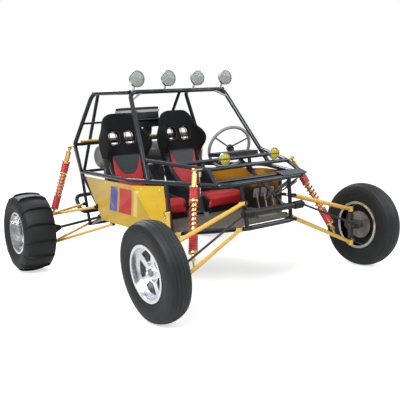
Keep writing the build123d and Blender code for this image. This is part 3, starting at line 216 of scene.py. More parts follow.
def makeWeathering():
    # worn patches, dust that settles low down and on faces that look up, and a fine grain
    tree, given, out = newTree("weathering", "ShaderNodeTree", [
        ("Colour", "NodeSocketColor", (0.5, 0.5, 0.5, 1)),
        ("Worn Colour", "NodeSocketColor", (0.3, 0.3, 0.3, 1)),
        ("Dust Colour", "NodeSocketColor", (0.32, 0.27, 0.2, 1)), ("Patch Scale", "NodeSocketFloat", 12.0),
        ("Wear", "NodeSocketFloat", 0.3), ("Dust", "NodeSocketFloat", 0.3),
        ("Dust Top", "NodeSocketFloat", 0.8),
        ("Roughness", "NodeSocketFloat", 0.4), ("Grain Scale", "NodeSocketFloat", 300.0)],
        [("Colour", "NodeSocketColor"), ("Roughness", "NodeSocketFloat"), ("Height", "NodeSocketFloat")])
    coords = objectCoords(tree)
    patches = noise(tree, coords, given["Patch Scale"], weatherLook["patchDetail"])
    wornEdge = minus(tree, patches, minus(tree, weatherLook["wornStart"], given["Wear"]))
    worn = times(tree, wornEdge, weatherLook["wornGain"], clamp=True)
    colour = mixColours(tree, worn, given["Colour"], given["Worn Colour"])
    facing = axesOf(tree, tree.nodes.new("ShaderNodeNewGeometry").outputs["Normal"])
    up = times(tree, facing["Z"], weatherLook["upGain"], clamp=True)
    height = axesOf(tree, coords)["Z"]
    low = minus(tree, 1.0, calc(tree, "DIVIDE", height, given["Dust Top"]), clamp=True)
    settled = times(tree, plus(tree, low, up), given["Dust"])
    dustNoise = noise(tree, coords, weatherLook["dustScale"], weatherLook["dustDetail"])
    dustNoise = times(tree, dustNoise, weatherLook["dustGain"])
    dusty = times(tree, settled, dustNoise, clamp=True)
    colour = mixColours(tree, dusty, colour, given["Dust Colour"])
    spread = times(tree, minus(tree, patches, 0.5), weatherLook["roughSpread"])
    dustRough = times(tree, dusty, weatherLook["dustRoughness"])
    rough = plus(tree, plus(tree, given["Roughness"], spread), dustRough, clamp=True)
    tree.links.new(colour, out.inputs["Colour"])
    tree.links.new(rough, out.inputs["Roughness"])
    grain = noise(tree, coords, given["Grain Scale"], weatherLook["grainDetail"])
    tree.links.new(grain, out.inputs["Height"])
    return tree


def makeWeave():
    # crossed threads, with a painted highlight on their crowns
    tree, given, out = newTree("weave", "ShaderNodeTree", [
        ("Colour", "NodeSocketColor", (0.02, 0.02, 0.02, 1)), ("Threads", "NodeSocketFloat", 400.0),
        ("Crown Highlight Colour", "NodeSocketColor", (0.05, 0.05, 0.05, 1))],
        [("Colour", "NodeSocketColor"), ("Height", "NodeSocketFloat")])
    coords = objectCoords(tree)
    axes = axesOf(tree, coords)
    turns = times(tree, given["Threads"], 2 * pi)
    across = calc(tree, "SINE", times(tree, plus(tree, axes["X"], axes["Y"]), turns))
    along = calc(tree, "SINE", times(tree, axes["Z"], turns))
    crown = times(tree, plus(tree, times(tree, across, along), 1.0), 0.5)
    # painted highlight: the lighter colour is laid on the thread crowns
    soft = times(tree, noise(tree, coords, weaveLook["patchScale"], weaveLook["patchDetail"]), crown)
    tree.links.new(mixColours(tree, soft, given["Colour"], given["Crown Highlight Colour"]), out.inputs["Colour"])
    tree.links.new(crown, out.inputs["Height"])
    return tree


weathering = makeWeathering()
weave = makeWeave()


def startMaterial(name, metallic=0.0, coat=0.0, sheen=0.0, roughness=0.5, gloss=0.5):
    paint = bpy.data.materials.new(name)
    paint.use_nodes = True
    shader = paint.node_tree.nodes["Principled BSDF"]
    values = {"Metallic": metallic, "Coat Weight": coat, "Coat Roughness": coatRoughness,
              "Sheen Weight": sheen, "Roughness": roughness, "Specular IOR Level": gloss}
    for label, value in values.items():
        shader.inputs[label].default_value = value
    return paint, paint.node_tree, shader


def addBump(tree, shader, height, strength, distance):
    bump = wire(tree, "ShaderNodeBump", {"Height": height, "Strength": strength, "Distance": distance})
    tree.links.new(bump.outputs["Normal"], shader.inputs["Normal"])


def weathered(name, look, pattern=None, relief=None):
    # pattern(tree, coords) gives a base colour that varies; relief(tree, height) adds to the bump's height
    paint, tree, shader = startMaterial(name, look.get("metallic", 0.0), look.get("coat", 0.0),
                                        gloss=look.get("gloss", 0.5))
    group = wire(tree, "ShaderNodeGroup", node_tree=weathering)
    names = {"colour": "Colour", "worn": "Worn Colour", "dustColour": "Dust Colour", "wear": "Wear",
             "patchScale": "Patch Scale", "dust": "Dust", "dustTop": "Dust Top", "roughness": "Roughness",
             "grain": "Grain Scale"}
    for key, label in names.items():
        if key in look:
            value = look[key]
            group.inputs[label].default_value = (*value, 1) if isinstance(value, tuple) else value
    if pattern:
        coords = objectCoords(tree)
        tree.links.new(pattern(tree, coords), group.inputs["Colour"])
    tree.links.new(group.outputs["Colour"], shader.inputs["Base Color"])
    tree.links.new(group.outputs["Roughness"], shader.inputs["Roughness"])
    height = relief(tree, group.outputs["Height"]) if relief else group.outputs["Height"]
    addBump(tree, shader, height, look.get("bump", 0.15), look.get("bumpDepth", 0.0006))
    return paint


# finishes of the record's material slots


def finish(colour, worn, wear, dust, roughness, **more):
    return dict(colour=colour, worn=worn, wear=wear, dust=dust, roughness=roughness, **more)


finishes = {
    "frame_black": finish((0.006, 0.01, 0.014), (0.02, 0.024, 0.028), 0.26, 0.02, 0.2, gloss=0.6,
                          patchScale=20.0, bump=0.04),
    "arm_yellow": finish((0.8, 0.47, 0.06), (0.55, 0.3, 0.04), 0.32, 0.12, 0.33, coat=0.4,
                         patchScale=14.0, bump=0.06),
    "gusset_grey": finish((0.34, 0.35, 0.36), (0.2, 0.2, 0.2), 0.35, 0.1, 0.4, bump=0.1),
    "floor_sheet": finish((0.07, 0.066, 0.058), (0.035, 0.032, 0.028), 0.42, 0.55, 0.6, dustTop=0.9,
                          dustColour=(0.17, 0.14, 0.1), metallic=0.1, patchScale=6.0, bump=0.4,
                          bumpDepth=0.002),
    "tyre_rubber": finish((0.0035, 0.005, 0.006), (0.01, 0.012, 0.013), 0.32, 0.05, 0.55, dustTop=0.4,
                          dustColour=(0.05, 0.047, 0.043), gloss=0.25, patchScale=7.0, bump=0.25,
                          bumpDepth=0.001),
    "rim_alloy": finish((0.86, 0.86, 0.87), (0.6, 0.6, 0.6), 0.3, 0.05, 0.26, metallic=1.0,
                        patchScale=10.0, bump=0.0),
    "brake_steel": finish((0.38, 0.38, 0.39), (0.2, 0.16, 0.12), 0.38, 0.15, 0.35, metallic=0.9,
                          patchScale=25.0, bump=0.2),
    "carrier_steel": finish((0.035, 0.036, 0.038), (0.09, 0.08, 0.07), 0.36, 0.2, 0.5, metallic=0.4,
                            grain=500.0, bump=0.4),
    "spring_red": finish((0.56, 0.022, 0.03), (0.35, 0.02, 0.025), 0.3, 0.06, 0.3, coat=0.5, bump=0.05),
    "damper_gold": finish((0.83, 0.56, 0.2), (0.9, 0.75, 0.5), 0.34, 0.05, 0.26, metallic=0.85, bump=0.05),
    "rack_alloy": finish((0.34, 0.34, 0.35), (0.16, 0.15, 0.14), 0.4, 0.25, 0.46, metallic=0.8,
                         grain=450.0, bump=0.45),
    "tank_grey": finish((0.19, 0.2, 0.2), (0.2, 0.2, 0.2), 0.3, 0.12, 0.36, coat=0.3, bump=0.1),
    "lamp_chrome": finish((0.9, 0.9, 0.91), (0.7, 0.7, 0.7), 0.25, 0.03, 0.1, metallic=1.0, bump=0.02),
}
blackPlastic = finish((0.012, 0.012, 0.013), (0.03, 0.03, 0.03), 0.3, 0.12, 0.42, grain=700.0, bump=0.35)


def band(tree, value, low, high):
    return times(tree, calc(tree, "GREATER_THAN", value, low), calc(tree, "LESS_THAN", value, high))


# side panels: two tones of gold mottled in streaks, a plain set of slanted bars, and painted shade on the
# sheet's inner side
panelLook = finish((0.66, 0.42, 0.02), (0.50, 0.30, 0.012), 0.30, 0.05, 0.34, dustTop=0.6, coat=0.15,
                   gloss=0.4, patchScale=5.0, bump=0.05)
streakLook = {"stretch": (3.0, 3.0, 14.0), "scale": 1.3, "detail": 3.0,
              "tones": ((0.55, 0.33, 0.010, 1), (0.80, 0.54, 0.030, 1))}
barLook = {"lean": 0.75, "low": 0.545, "high": 0.770, "bars": ((0.66, 0.84, (0.010, 0.055, 0.40, 1)),
           (0.34, 0.62, (0.60, 0.008, 0.010, 1)), (0.22, 0.30, (0.86, 0.66, 0.20, 1)))}
# painted shade on the sheet's inner side: a darker orange near its top, fading to near black below
paintedShadeInside = {"top": 0.74, "fade": 9.0, "upper": (0.45, 0.19, 0.010, 1), "lower": (0.030, 0.020, 0.012, 1)}


def panelPattern(tree, coords):
    axes = axesOf(tree, coords)
    streaks = wire(tree, "ShaderNodeMapping", {"Vector": coords, "Scale": streakLook["stretch"]}).outputs[0]
    mottle = noise(tree, streaks, streakLook["scale"], streakLook["detail"])
    colour = mixColours(tree, mottle, *streakLook["tones"])
    slanted = plus(tree, axes["Y"], times(tree, axes["Z"], barLook["lean"]))
    normal = axesOf(tree, tree.nodes.new("ShaderNodeNewGeometry").outputs["Normal"])
    outward = calc(tree, "GREATER_THAN", times(tree, normal["X"], axes["X"]), 0.0)
    # inner faces get painted shade: a darker orange, near black further down
    inward = minus(tree, 1.0, outward)
    depth = minus(tree, paintedShadeInside["top"], axes["Z"])
    shaded = times(tree, depth, paintedShadeInside["fade"], clamp=True)
    colour = mixColours(tree, inward, colour, paintedShadeInside["upper"])
    colour = mixColours(tree, times(tree, inward, shaded), colour, paintedShadeInside["lower"])
    inside = times(tree, band(tree, axes["Z"], barLook["low"], barLook["high"]), outward)
    for start, end, paint in barLook["bars"]:
        colour = mixColours(tree, times(tree, band(tree, slanted, start, end), inside), colour, paint)
    return colour


# steering wheel: grey grip on the rim only, black spokes, hub and column
gripFinish = finish((0.27, 0.27, 0.265), (0.18, 0.18, 0.175), 0.36, 0.05, 0.55, grain=600.0, bump=0.4)
wheelLook = {"centre": (0.300, -0.28613, 1.023609), "foot": (0.120, -1.14589, 0.605729), "rimInner": 0.168,
             "rimHalf": 0.02, "spokeColour": (0.015, 0.016, 0.018, 1)}


def wheelPattern(tree, coords):
    centre = Vector(wheelLook["centre"])
    axle = (Vector(wheelLook["foot"]) - centre).normalized()
    local = wire(tree, "ShaderNodeVectorMath", {0: coords, 1: centre}, operation="SUBTRACT").outputs[0]
    distance = wire(tree, "ShaderNodeVectorMath", {0: local}, operation="LENGTH").outputs["Value"]
    depth = wire(tree, "ShaderNodeVectorMath", {0: local, 1: axle}, operation="DOT_PRODUCT").outputs["Value"]
    onRim = times(tree, calc(tree, "GREATER_THAN", distance, wheelLook["rimInner"]),
                 band(tree, depth, -wheelLook["rimHalf"], wheelLook["rimHalf"]))
    return mixColours(tree, onRim, wheelLook["spokeColour"], (*gripFinish["colour"], 1))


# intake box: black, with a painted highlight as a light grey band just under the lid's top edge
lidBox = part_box("air_box")
lidHighlightBand = {"drop": 0.024, "height": 0.025, "colour": (0.42, 0.43, 0.44, 1)}


def boxPattern(tree, coords):
    high = lidBox[1].z - lidHighlightBand["drop"]
    rim = band(tree, axesOf(tree, coords)["Z"], high - lidHighlightBand["height"], high)
    return mixColours(tree, rim, (*blackPlastic["colour"], 1), lidHighlightBand["colour"])


paints = {slot: weathered(slot, look) for slot, look in finishes.items()}
paints["panel_gold"] = weathered("panel_gold", panelLook, panelPattern)
paints["wheel_grip"] = weathered("wheel_grip", gripFinish, wheelPattern)
paints["box_black"] = weathered("box_black", blackPlastic)
darkSteel = finish((0.012, 0.013, 0.014), (0.05, 0.05, 0.05), 0.34, 0.1, 0.42, metallic=0.3, gloss=0.4,
                   bump=0.2)
darkPaint = weathered("dark_steel", darkSteel)
special = {"air_box": weathered("air_box_black", blackPlastic, boxPattern), "tie_rods": darkPaint,
           "steering_rack": darkPaint, "half_shaft_left": darkPaint, "half_shaft_right": darkPaint}


# the wheels' places and sizes, as in the CAD model
wheels = {
    "front": {"track": 1.994, "axleY": -1.09525, "radius": 0.3375, "width": 0.160, "crown": 0.150,
              "rim": 0.178, "camber": 2.9, "tread": 0.0, "grooves": (-0.040, -0.014, 0.014, 0.040),
              "grooveDepth": 0.003, "face": 0.018, "hub": 0.027},
    "rear": {"track": 2.054, "axleY": 1.07275, "radius": 0.360, "width": 0.290, "crown": 0.480, "rim": 0.178,
             "camber": -2.4, "tread": 0.016, "grooves": (), "grooveDepth": 0.0, "face": 0.0, "hub": 0.009},
}
# rims: silver outside and at the inboard lip, dark in the barrel behind the face
rimLook = {"face": -0.004, "lip": -0.066, "radius": 0.174, "dark": (0.035, 0.036, 0.038, 1)}


def axleHeight(wheel):
    return (wheel["radius"] - wheel["crown"]) * cos(radians(wheel["camber"])) + wheel["crown"]


def rimPattern(wheel):
    lean = radians(wheel["camber"])

    def pattern(tree, coords):
        axes = axesOf(tree, coords)
        out = minus(tree, calc(tree, "ABSOLUTE", axes["X"]), wheel["track"] / 2)
        rise = minus(tree, axes["Z"], axleHeight(wheel))
        depth = minus(tree, times(tree, out, cos(lean)), times(tree, rise, sin(lean)))
        ahead = minus(tree, axes["Y"], wheel["axleY"])
        squares = plus(tree, times(tree, ahead, ahead), times(tree, rise, rise))
        inner = calc(tree, "LESS_THAN", calc(tree, "SQRT", squares), rimLook["radius"])
        dark = times(tree, band(tree, depth, rimLook["lip"], rimLook["face"]), inner)
        return mixColours(tree, dark, (*finishes["rim_alloy"]["colour"], 1), rimLook["dark"])
    return pattern


# seat cloth, with smooth dark hide over the lower bolsters
clothLook = {"colour": (0.003, 0.003, 0.0035, 1), "crownHighlight": (0.012, 0.012, 0.013, 1), "threads": 330.0,
             "sheen": 0.03, "gloss": 0.3, "roughness": 0.95, "bump": 0.35, "bumpDepth": 0.0006}
bolsterLook = {"seatX": 0.300, "inner": 0.164, "low": 0.50, "high": 0.99, "colour": (0.012, 0.015, 0.019, 1),
               "roughness": 0.30}


def makeCloth(name, look):
    paint, tree, shader = startMaterial(name, sheen=look["sheen"], gloss=look["gloss"])
    group = wire(tree, "ShaderNodeGroup", node_tree=weave)
    for label, key in (("Colour", "colour"), ("Crown Highlight Colour", "crownHighlight"), ("Threads", "threads")):
        group.inputs[label].default_value = look[key]
    axes = axesOf(tree, objectCoords(tree))
    aside = calc(tree, "ABSOLUTE", minus(tree, calc(tree, "ABSOLUTE", axes["X"]), bolsterLook["seatX"]))
    hide = times(tree, calc(tree, "GREATER_THAN", aside, bolsterLook["inner"]),
                 band(tree, axes["Z"], bolsterLook["low"], bolsterLook["high"]))
    colour = mixColours(tree, hide, group.outputs["Colour"], bolsterLook["colour"])
    tree.links.new(colour, shader.inputs["Base Color"])
    smoother = times(tree, hide, look["roughness"] - bolsterLook["roughness"])
    tree.links.new(minus(tree, look["roughness"], smoother), shader.inputs["Roughness"])
    threadHeight = times(tree, group.outputs["Height"], minus(tree, 1.0, hide))
    addBump(tree, shader, threadHeight, look["bump"], look["bumpDepth"])
    return paint


paints["seat_fabric"] = makeCloth("seatCloth", clothLook)
for axle, wheel in wheels.items():
    rimPaint = weathered(axle + "_rim", finishes["rim_alloy"], rimPattern(wheel))
    special["%s_rim_left" % axle] = special["%s_rim_right" % axle] = rimPaint
for part in frame["record"]["subparts"]:
    data = nodes[part["node"]].data
    data.materials.clear()
    data.materials.append(special.get(part["node"], paints[part["material_slot"]]))
print("finishes given")

# mesh helpers
weldDistance = 0.00002


def addPiece(name, mesh, body, material):
    piece = addObject(name, mesh)
    mesh.materials.clear()
    mesh.materials.append(material)
    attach(piece, body)
    return piece


def applied(thing):
    # the object's mesh with its modifiers applied; the object itself goes
    graph = bpy.context.evaluated_depsgraph_get()
    mesh = bpy.data.meshes.new_from_object(thing.evaluated_get(graph))
    bpy.data.objects.remove(thing)
    return mesh


def meshOf(name, build, recalc=True):
    if recalc:
        bmesh.ops.recalc_face_normals(build, faces=build.faces)
    mesh = bpy.data.meshes.new(name)
    build.to_mesh(mesh)
    build.free()
    return mesh


def joined(name, meshes):
    build = bmesh.new()
    for mesh in meshes:
        build.from_mesh(mesh)
    return meshOf(name, build, recalc=False)


def smoothed(mesh):
    for face in mesh.polygons:
        face.use_smooth = True
    return mesh


def loft(build, rows):
    # faces between closed rows of points, and one at each end
    for here, there in zip(rows, rows[1:]):
        for step in range(len(here)):
            after = (step + 1) % len(here)
            build.faces.new((here[step], here[after], there[after], there[step]))
    build.faces.new(rows[0])
    build.faces.new(rows[-1])


def lathe(name, outline, segments, place, closed=True, sharp=40):
    # outline holds (distance along the axle, radius); its map is (turn, metres along the outline)
    build = bmesh.new()
    mapLayer = build.loops.layers.uv.new("ringMap")
    rings = []
    for turn in range(segments):
        angle = 2 * pi * turn / segments
        rings.append([build.verts.new(place @ Vector((depth, radius * cos(angle), radius * sin(angle))))
                      for depth, radius in outline])
    metres = [0.0]
    for first, second in zip(outline, outline[1:] + outline[:1]):
        metres.append(metres[-1] + (Vector(second) - Vector(first)).length)
    for turn in range(segments):
        here, there = rings[turn], rings[(turn + 1) % segments]
        for step in range(len(outline) if closed else len(outline) - 1):
            after = (step + 1) % len(outline)
            face = build.faces.new((here[step], here[after], there[after], there[step]))
            corners = ((turn, step), (turn, step + 1), (turn + 1, step + 1), (turn + 1, step))
            for loop, (turnIndex, stepIndex) in zip(face.loops, corners):
                loop[mapLayer].uv = (turnIndex / segments, metres[stepIndex])
    bmesh.ops.remove_doubles(build, verts=build.verts, dist=weldDistance)
    mesh = smoothed(meshOf(name, build))
    mesh.set_sharp_from_angle(angle=radians(sharp))
    return mesh


def makeRepeat(name, onPoints):
    # copies of one small object: round an axle, or on the carrier's own points with a stored turn
    inputs = [("Geometry", "NodeSocketGeometry", None), ("Piece", "NodeSocketObject", None),
              ("Count", "NodeSocketInt", 12), ("Start", "NodeSocketFloat", 0.0),
              ("Material", "NodeSocketMaterial", None)]
    tree, given, out = newTree(name, "GeometryNodeTree", inputs, [("Geometry", "NodeSocketGeometry")])
    source = wire(tree, "GeometryNodeObjectInfo", {"Object": given["Piece"]})
    if onPoints:
        points = given["Geometry"]
        stored = wire(tree, "GeometryNodeInputNamedAttribute", {"Name": "turn"}, data_type="FLOAT_VECTOR")
        turn = stored.outputs[0]
    else:
        points = wire(tree, "GeometryNodePoints", {"Count": given["Count"]}).outputs[0]
        share = calc(tree, "DIVIDE", tree.nodes.new("GeometryNodeInputIndex").outputs[0], given["Count"])
        angle = plus(tree, times(tree, share, 2 * pi), given["Start"])
        turn = wire(tree, "ShaderNodeCombineXYZ", {"X": angle}).outputs[0]
    copies = wire(tree, "GeometryNodeInstanceOnPoints",
                  {"Points": points, "Instance": source.outputs["Geometry"], "Rotation": turn})
    real = wire(tree, "GeometryNodeRealizeInstances", {"Geometry": copies.outputs[0]})
    painted = wire(tree, "GeometryNodeSetMaterial",
                   {"Geometry": real.outputs[0], "Material": given["Material"]})
    tree.links.new(painted.outputs[0], out.inputs["Geometry"])
    return tree


repeatRound = makeRepeat("repeatRound", False)
repeatOnPoints = makeRepeat("repeatOnPoints", True)


def repeated(name, tree, carrierMesh, values):
    carrier = addObject(name + "Carrier", carrierMesh)
    source = addObject(name + "Source", values["Piece"])
    modifier = carrier.modifiers.new("repeat", "NODES")
    modifier.node_group = tree
    for item in tree.interface.items_tree:
        if item.in_out == "INPUT" and item.name in values:
            modifier[item.identifier] = source if item.name == "Piece" else values[item.name]
    mesh = applied(carrier)
    bpy.data.objects.remove(source)
    return mesh


def tubeMesh(name, points, radius, cyclic=False, radii=None):
    # a round rod along a smooth line through points
    curve = bpy.data.curves.new(name, "CURVE")
    curve.dimensions = "3D"
    curve.bevel_depth = radius
    curve.bevel_resolution = 3
    curve.use_fill_caps = True
    line = curve.splines.new("BEZIER")
    line.bezier_points.add(len(points) - 1)
    for knot, point, share in zip(line.bezier_points, points, radii or [1.0] * len(points)):
        knot.co = point
        knot.radius = share
        knot.handle_left_type = knot.handle_right_type = "AUTO"
    line.use_cyclic_u = cyclic
    return applied(addObject(name, curve))


# wheels: detailed tyres in the CAD tyres' places, paddles on the rear, wheel nuts and hub caps
tyreShape = {"shoulder": 0.86, "bead": 0.78, "wall": 0.014, "flange": 0.014, "gap": 0.0003, "crownSteps": 44,
             "sideSteps": 14, "segments": 144, "rings": 9, "ringHeight": 0.0008, "grooveHalf": 0.0022}
ribLook = {"pitch": 0.0045, "height": 0.25}
paddleLook = {"count": 14, "start": 0.218, "base": 0.024, "top": 0.008, "bow": 0.030, "bowPower": 4,
              "reach": 0.985, "steps": 24, "fade": 0.22, "drop": 0.030, "sunk": 0.004, "under": 0.0004,
              "endHeight": 0.35}
# a dark disc just behind the spoked face that closes its windows: a dark sheet standing in for the shade
# inside the wheel
shadeDiscLook = {"behind": 0.0095, "thickness": 0.002, "inner": 0.062, "outer": 0.170}
# turned heads: shares of the height along the axis and of the radius
nutLook = {"count": 4, "start": 0.3, "circle": 0.055, "radius": 0.0105, "height": 0.016, "sunk": 0.001,
           "shares": ((0.8, 1.0), (1.0, 0.55), (1.0, 0.0))}
capLook = {"radius": 0.026, "height": 0.014, "sunk": 0.002, "shares": ((0.7, 0.9), (1.0, 0.6), (1.0, 0.0))}


def wheelPlace(wheel, side):
    lean = radians(wheel["camber"])
    out = Vector((side * cos(lean), 0, -sin(lean)))
    ahead = Vector((0, side, 0))
    centre = Vector((side * wheel["track"] / 2, wheel["axleY"], axleHeight(wheel)))
    return placeAt(centre, out, ahead, out.cross(ahead))


def crownRadius(wheel, depth, drop=0.0):
    return wheel["radius"] - drop - wheel["crown"] + (wheel["crown"] ** 2 - depth ** 2) ** 0.5


def tyreOutline(wheel, shape):
    half = wheel["width"] / 2
    edge, bead = half * shape["shoulder"], half * shape["bead"]
    seat = wheel["rim"] + shape["gap"]
    flange = seat + shape["flange"]
    shoulder = crownRadius(wheel, edge, wheel["tread"])
    bulge = half - (edge + bead) / 2

    def skin(inset):
        points = [(-bead + inset, seat), (-bead + inset, flange)]
        for step in range(1, shape["sideSteps"]):
            share = step / shape["sideSteps"]
            across = bead + (edge - bead) * share + bulge * 4 * share * (1 - share)
            ring = shape["ringHeight"] * sin(share * shape["rings"] * pi) if inset == 0 else 0.0
            points.append((-across - ring + inset, flange + (shoulder - flange) * share))
        for step in range(shape["crownSteps"] + 1):
            depth = (edge - inset) * (2 * step / shape["crownSteps"] - 1)
            radius = crownRadius(wheel, depth, wheel["tread"]) - inset
            near = min((abs(depth - groove) for groove in wheel["grooves"]), default=1.0)
            if inset == 0 and near < shape["grooveHalf"]:
                radius -= wheel["grooveDepth"]
            points.append((depth, radius))
        return points + [(-depth, radius) for depth, radius in reversed(points[:shape["sideSteps"] + 1])]

    return skin(0.0) + list(reversed(skin(shape["wall"])))


def paddleMesh(wheel, look):
    # one raised bar across the tread, bowed along it, with its ends running down the shoulder
    half = wheel["width"] / 2 * look["reach"]
    build = bmesh.new()
    rows = []
    for step in range(look["steps"] + 1):
        share = 2 * step / look["steps"] - 1
        depth = half * share
        bow = look["bow"] * (1 - share ** look["bowPower"])
        fade = min(1.0, (1 - abs(share)) / look["fade"])
        low = crownRadius(wheel, depth, wheel["tread"] + look["sunk"]) - look["drop"] * (1 - fade) ** 2
        rise = (wheel["tread"] - look["under"]) * (look["endHeight"] + (1 - look["endHeight"]) * fade)
        high = low + look["sunk"] + rise
        base, top = look["base"] / 2, look["top"] / 2
        corners = ((-base, low), (-top, high), (top, high), (base, low))
        rows.append([build.verts.new((depth, radius, across + bow)) for across, radius in corners])
    loft(build, rows)
    return meshOf("paddle", build)


def headOutline(look):
    points = [(look["height"] * along, look["radius"] * out) for along, out in look["shares"]]
    return [(-look["sunk"], 0.0), (-look["sunk"], look["radius"])] + points


def backingOutline(wheel, look):
    front = wheel["face"] - look["behind"]
    back = front - look["thickness"]
    return [(front, look["inner"]), (front, look["outer"]), (back, look["outer"]), (back, look["inner"])]


def tyreRibs(tree, height):
    along = axesOf(tree, wire(tree, "ShaderNodeUVMap", uv_map="ringMap").outputs[0])["Y"]
    ribs = times(tree, calc(tree, "SINE", times(tree, along, 2 * pi / ribLook["pitch"])), ribLook["height"])
    return plus(tree, ribs, height)


def roundAxle(name, mesh, look, material, place):
    copies = repeated(name, repeatRound, bpy.data.meshes.new("blank"),
                      {"Piece": mesh, "Count": look["count"], "Start": look["start"], "Material": material})
    copies.transform(place)
    return copies


rubberLook = {**finishes["tyre_rubber"], "gloss": 0.5, "bump": 0.35, "bumpDepth": 0.0012}
tyreRubber = weathered("tyreRubber", rubberLook, relief=tyreRibs)
for axle, wheel in wheels.items():
    outline = tyreOutline(wheel, tyreShape)
    for side, word in ((1, "left"), (-1, "right")):
        place = wheelPlace(wheel, side)
        body = "%s_wheel_%s" % (axle, word)
        end = word.title()
        tyre = addPiece(axle + "Tyre" + end, lathe("tyre", outline, tyreShape["segments"], place), body,
                        tyreRubber)
        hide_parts("%s_tyre_%s" % (axle, word))
        if wheel["tread"]:
            paddle = paddleMesh(wheel, paddleLook)
            paddles = roundAxle("paddles", paddle, paddleLook, paints["tyre_rubber"], place)
            addPiece(axle + "Paddles" + end, paddles, body, paints["tyre_rubber"])
        circle = Matrix.Translation((0, nutLook["circle"], 0))
        nut = lathe("nut", headOutline(nutLook), 6, circle, closed=False)
        facePlace = place @ Matrix.Translation((wheel["face"], 0, 0))
        nuts = roundAxle("nuts", nut, nutLook, paints["lamp_chrome"], facePlace)
        addPiece(axle + "Nuts" + end, nuts, body, paints["lamp_chrome"])
        # painted shade: the dark disc behind the spokes
        backing = lathe("backing", backingOutline(wheel, shadeDiscLook), 64, place)
        addPiece(axle + "Backing" + end, backing, body, darkPaint)
        hubPlace = place @ Matrix.Translation((wheel["hub"], 0, 0))
        cap = lathe("cap", headOutline(capLook), 32, hubPlace, closed=False)
        addPiece(axle + "HubCap" + end, cap, body, paints["rack_alloy"])
print("wheels made")

# side panel screws, on the folded sheet's outer face
panelShape = {"top": ((0.4515, 1.0077), (0.6656, -0.2931), (0.5782, -0.6055)), "topZ": 0.8121,
              "low": ((0.4911, 0.6500), (0.6048, -0.5576), (0.5621, -0.6055)), "lowZ": 0.4297}
screwLook = {"radius": 0.0075, "height": 0.0035, "sunk": 0.001,
             "shares": ((0.4, 1.0), (0.85, 0.75), (1.0, 0.3), (0.5, 0.2), (0.5, 0.0)),
             "rear": ((0.05, 0.06), (0.26, 0.05), (0.47, 0.05), (0.68, 0.05), (0.89, 0.06), (0.10, 0.93),
                      (0.36, 0.94), (0.62, 0.94), (0.87, 0.93)),
             "front": ((0.22, 0.07), (0.86, 0.08), (0.84, 0.62)), "step": 0.01}


def panelPoint(side, segment, along, down):
    ends = []
    for edge, height in (("top", panelShape["topZ"]), ("low", panelShape["lowZ"])):
        start, end = (Vector((side * x, y, height)) for x, y in panelShape[edge][segment:segment + 2])
        ends.append(start.lerp(end, along))
    return ends[0].lerp(ends[1], down)


def screwCarrier(side, look):
    places, turns = [], []
    for segment, spots in ((0, look["rear"]), (1, look["front"])):
        for along, down in spots:
            middle = panelPoint(side, segment, along, down)
            onward = panelPoint(side, segment, along + look["step"], down) - middle
            below = panelPoint(side, segment, along, down + look["step"]) - middle
            normal = onward.cross(below).normalized()
            if normal.x * side < 0:
                normal.negate()
            places.append(middle)
            turns.append(normal.to_track_quat("X", "Z").to_euler())
    mesh = bpy.data.meshes.new("screwPoints")
    mesh.from_pydata(places, [], [])
    stored = mesh.attributes.new("turn", "FLOAT_VECTOR", "POINT")
    for item, turn in zip(stored.data, turns):
        item.vector = tuple(turn)
    return mesh


screwHead = lathe("screw", headOutline(screwLook), 16, Matrix.Identity(4), closed=False)
for side, word in ((1, "Left"), (-1, "Right")):
    screws = repeated("screws", repeatOnPoints, screwCarrier(side, screwLook),
                      {"Piece": screwHead, "Material": paints["lamp_chrome"]})
    addPiece("panelScrews" + word, screws, "chassis", paints["lamp_chrome"])
print("panel screws made")

# lamps: ribbed lenses, clear on the roof and yellow on the nose, with painted shade on their ribs, and a bar
# across the nose lamps
lampLook = {"roof": {"places": [(x, -0.11526, 1.62718) for x in (-0.4428, -0.1460, 0.1460, 0.4428)],
                     "radius": 0.0605, "colour": (0.50, 0.56, 0.50), "rib": 0.010, "clear": 0.35},
            "fog": {"places": [(x, -0.92313, 0.98284) for x in (-0.2387, 0.2387)], "radius": 0.0398,
                    "colour": (0.92, 0.80, 0.06), "rib": 0.006, "clear": 0.45}}
# the lens's outline: metres along its axis, and shares of its radius
lensLook = {"outline": ((-0.008, 0.0), (-0.008, 1.0), (-0.003, 1.0), (0.001, 0.93), (0.005, 0.6),
                        (0.0065, 0.3), (0.007, 0.0)),
            "roughness": 0.08, "refraction": 1.45, "shade": 0.35, "darker": 0.55, "bump": 0.25,
            "bumpDepth": 0.0008}
fogBarLook = {"shares": (-1.04, -0.5, 0.0, 0.5, 1.04), "ahead": 0.009, "bend": 0.006, "radius": 0.0028}


def makeLens(name, look):
    paint, tree, shader = startMaterial(name, roughness=lensLook["roughness"])
    shader.inputs["Transmission Weight"].default_value = look["clear"]
    shader.inputs["IOR"].default_value = lensLook["refraction"]
    # painted shade on the ribs: stripes that mix the lens colour with a darker copy of it
    ribs = calc(tree, "SINE", times(tree, axesOf(tree, objectCoords(tree))["X"], 2 * pi / look["rib"]))
    shade = times(tree, plus(tree, ribs, 1.0), lensLook["shade"])
    darker = [lensLook["darker"] * value for value in look["colour"]]
    tree.links.new(mixColours(tree, shade, (*look["colour"], 1), (*darker, 1)), shader.inputs["Base Color"])
    addBump(tree, shader, ribs, lensLook["bump"], lensLook["bumpDepth"])
    return paint


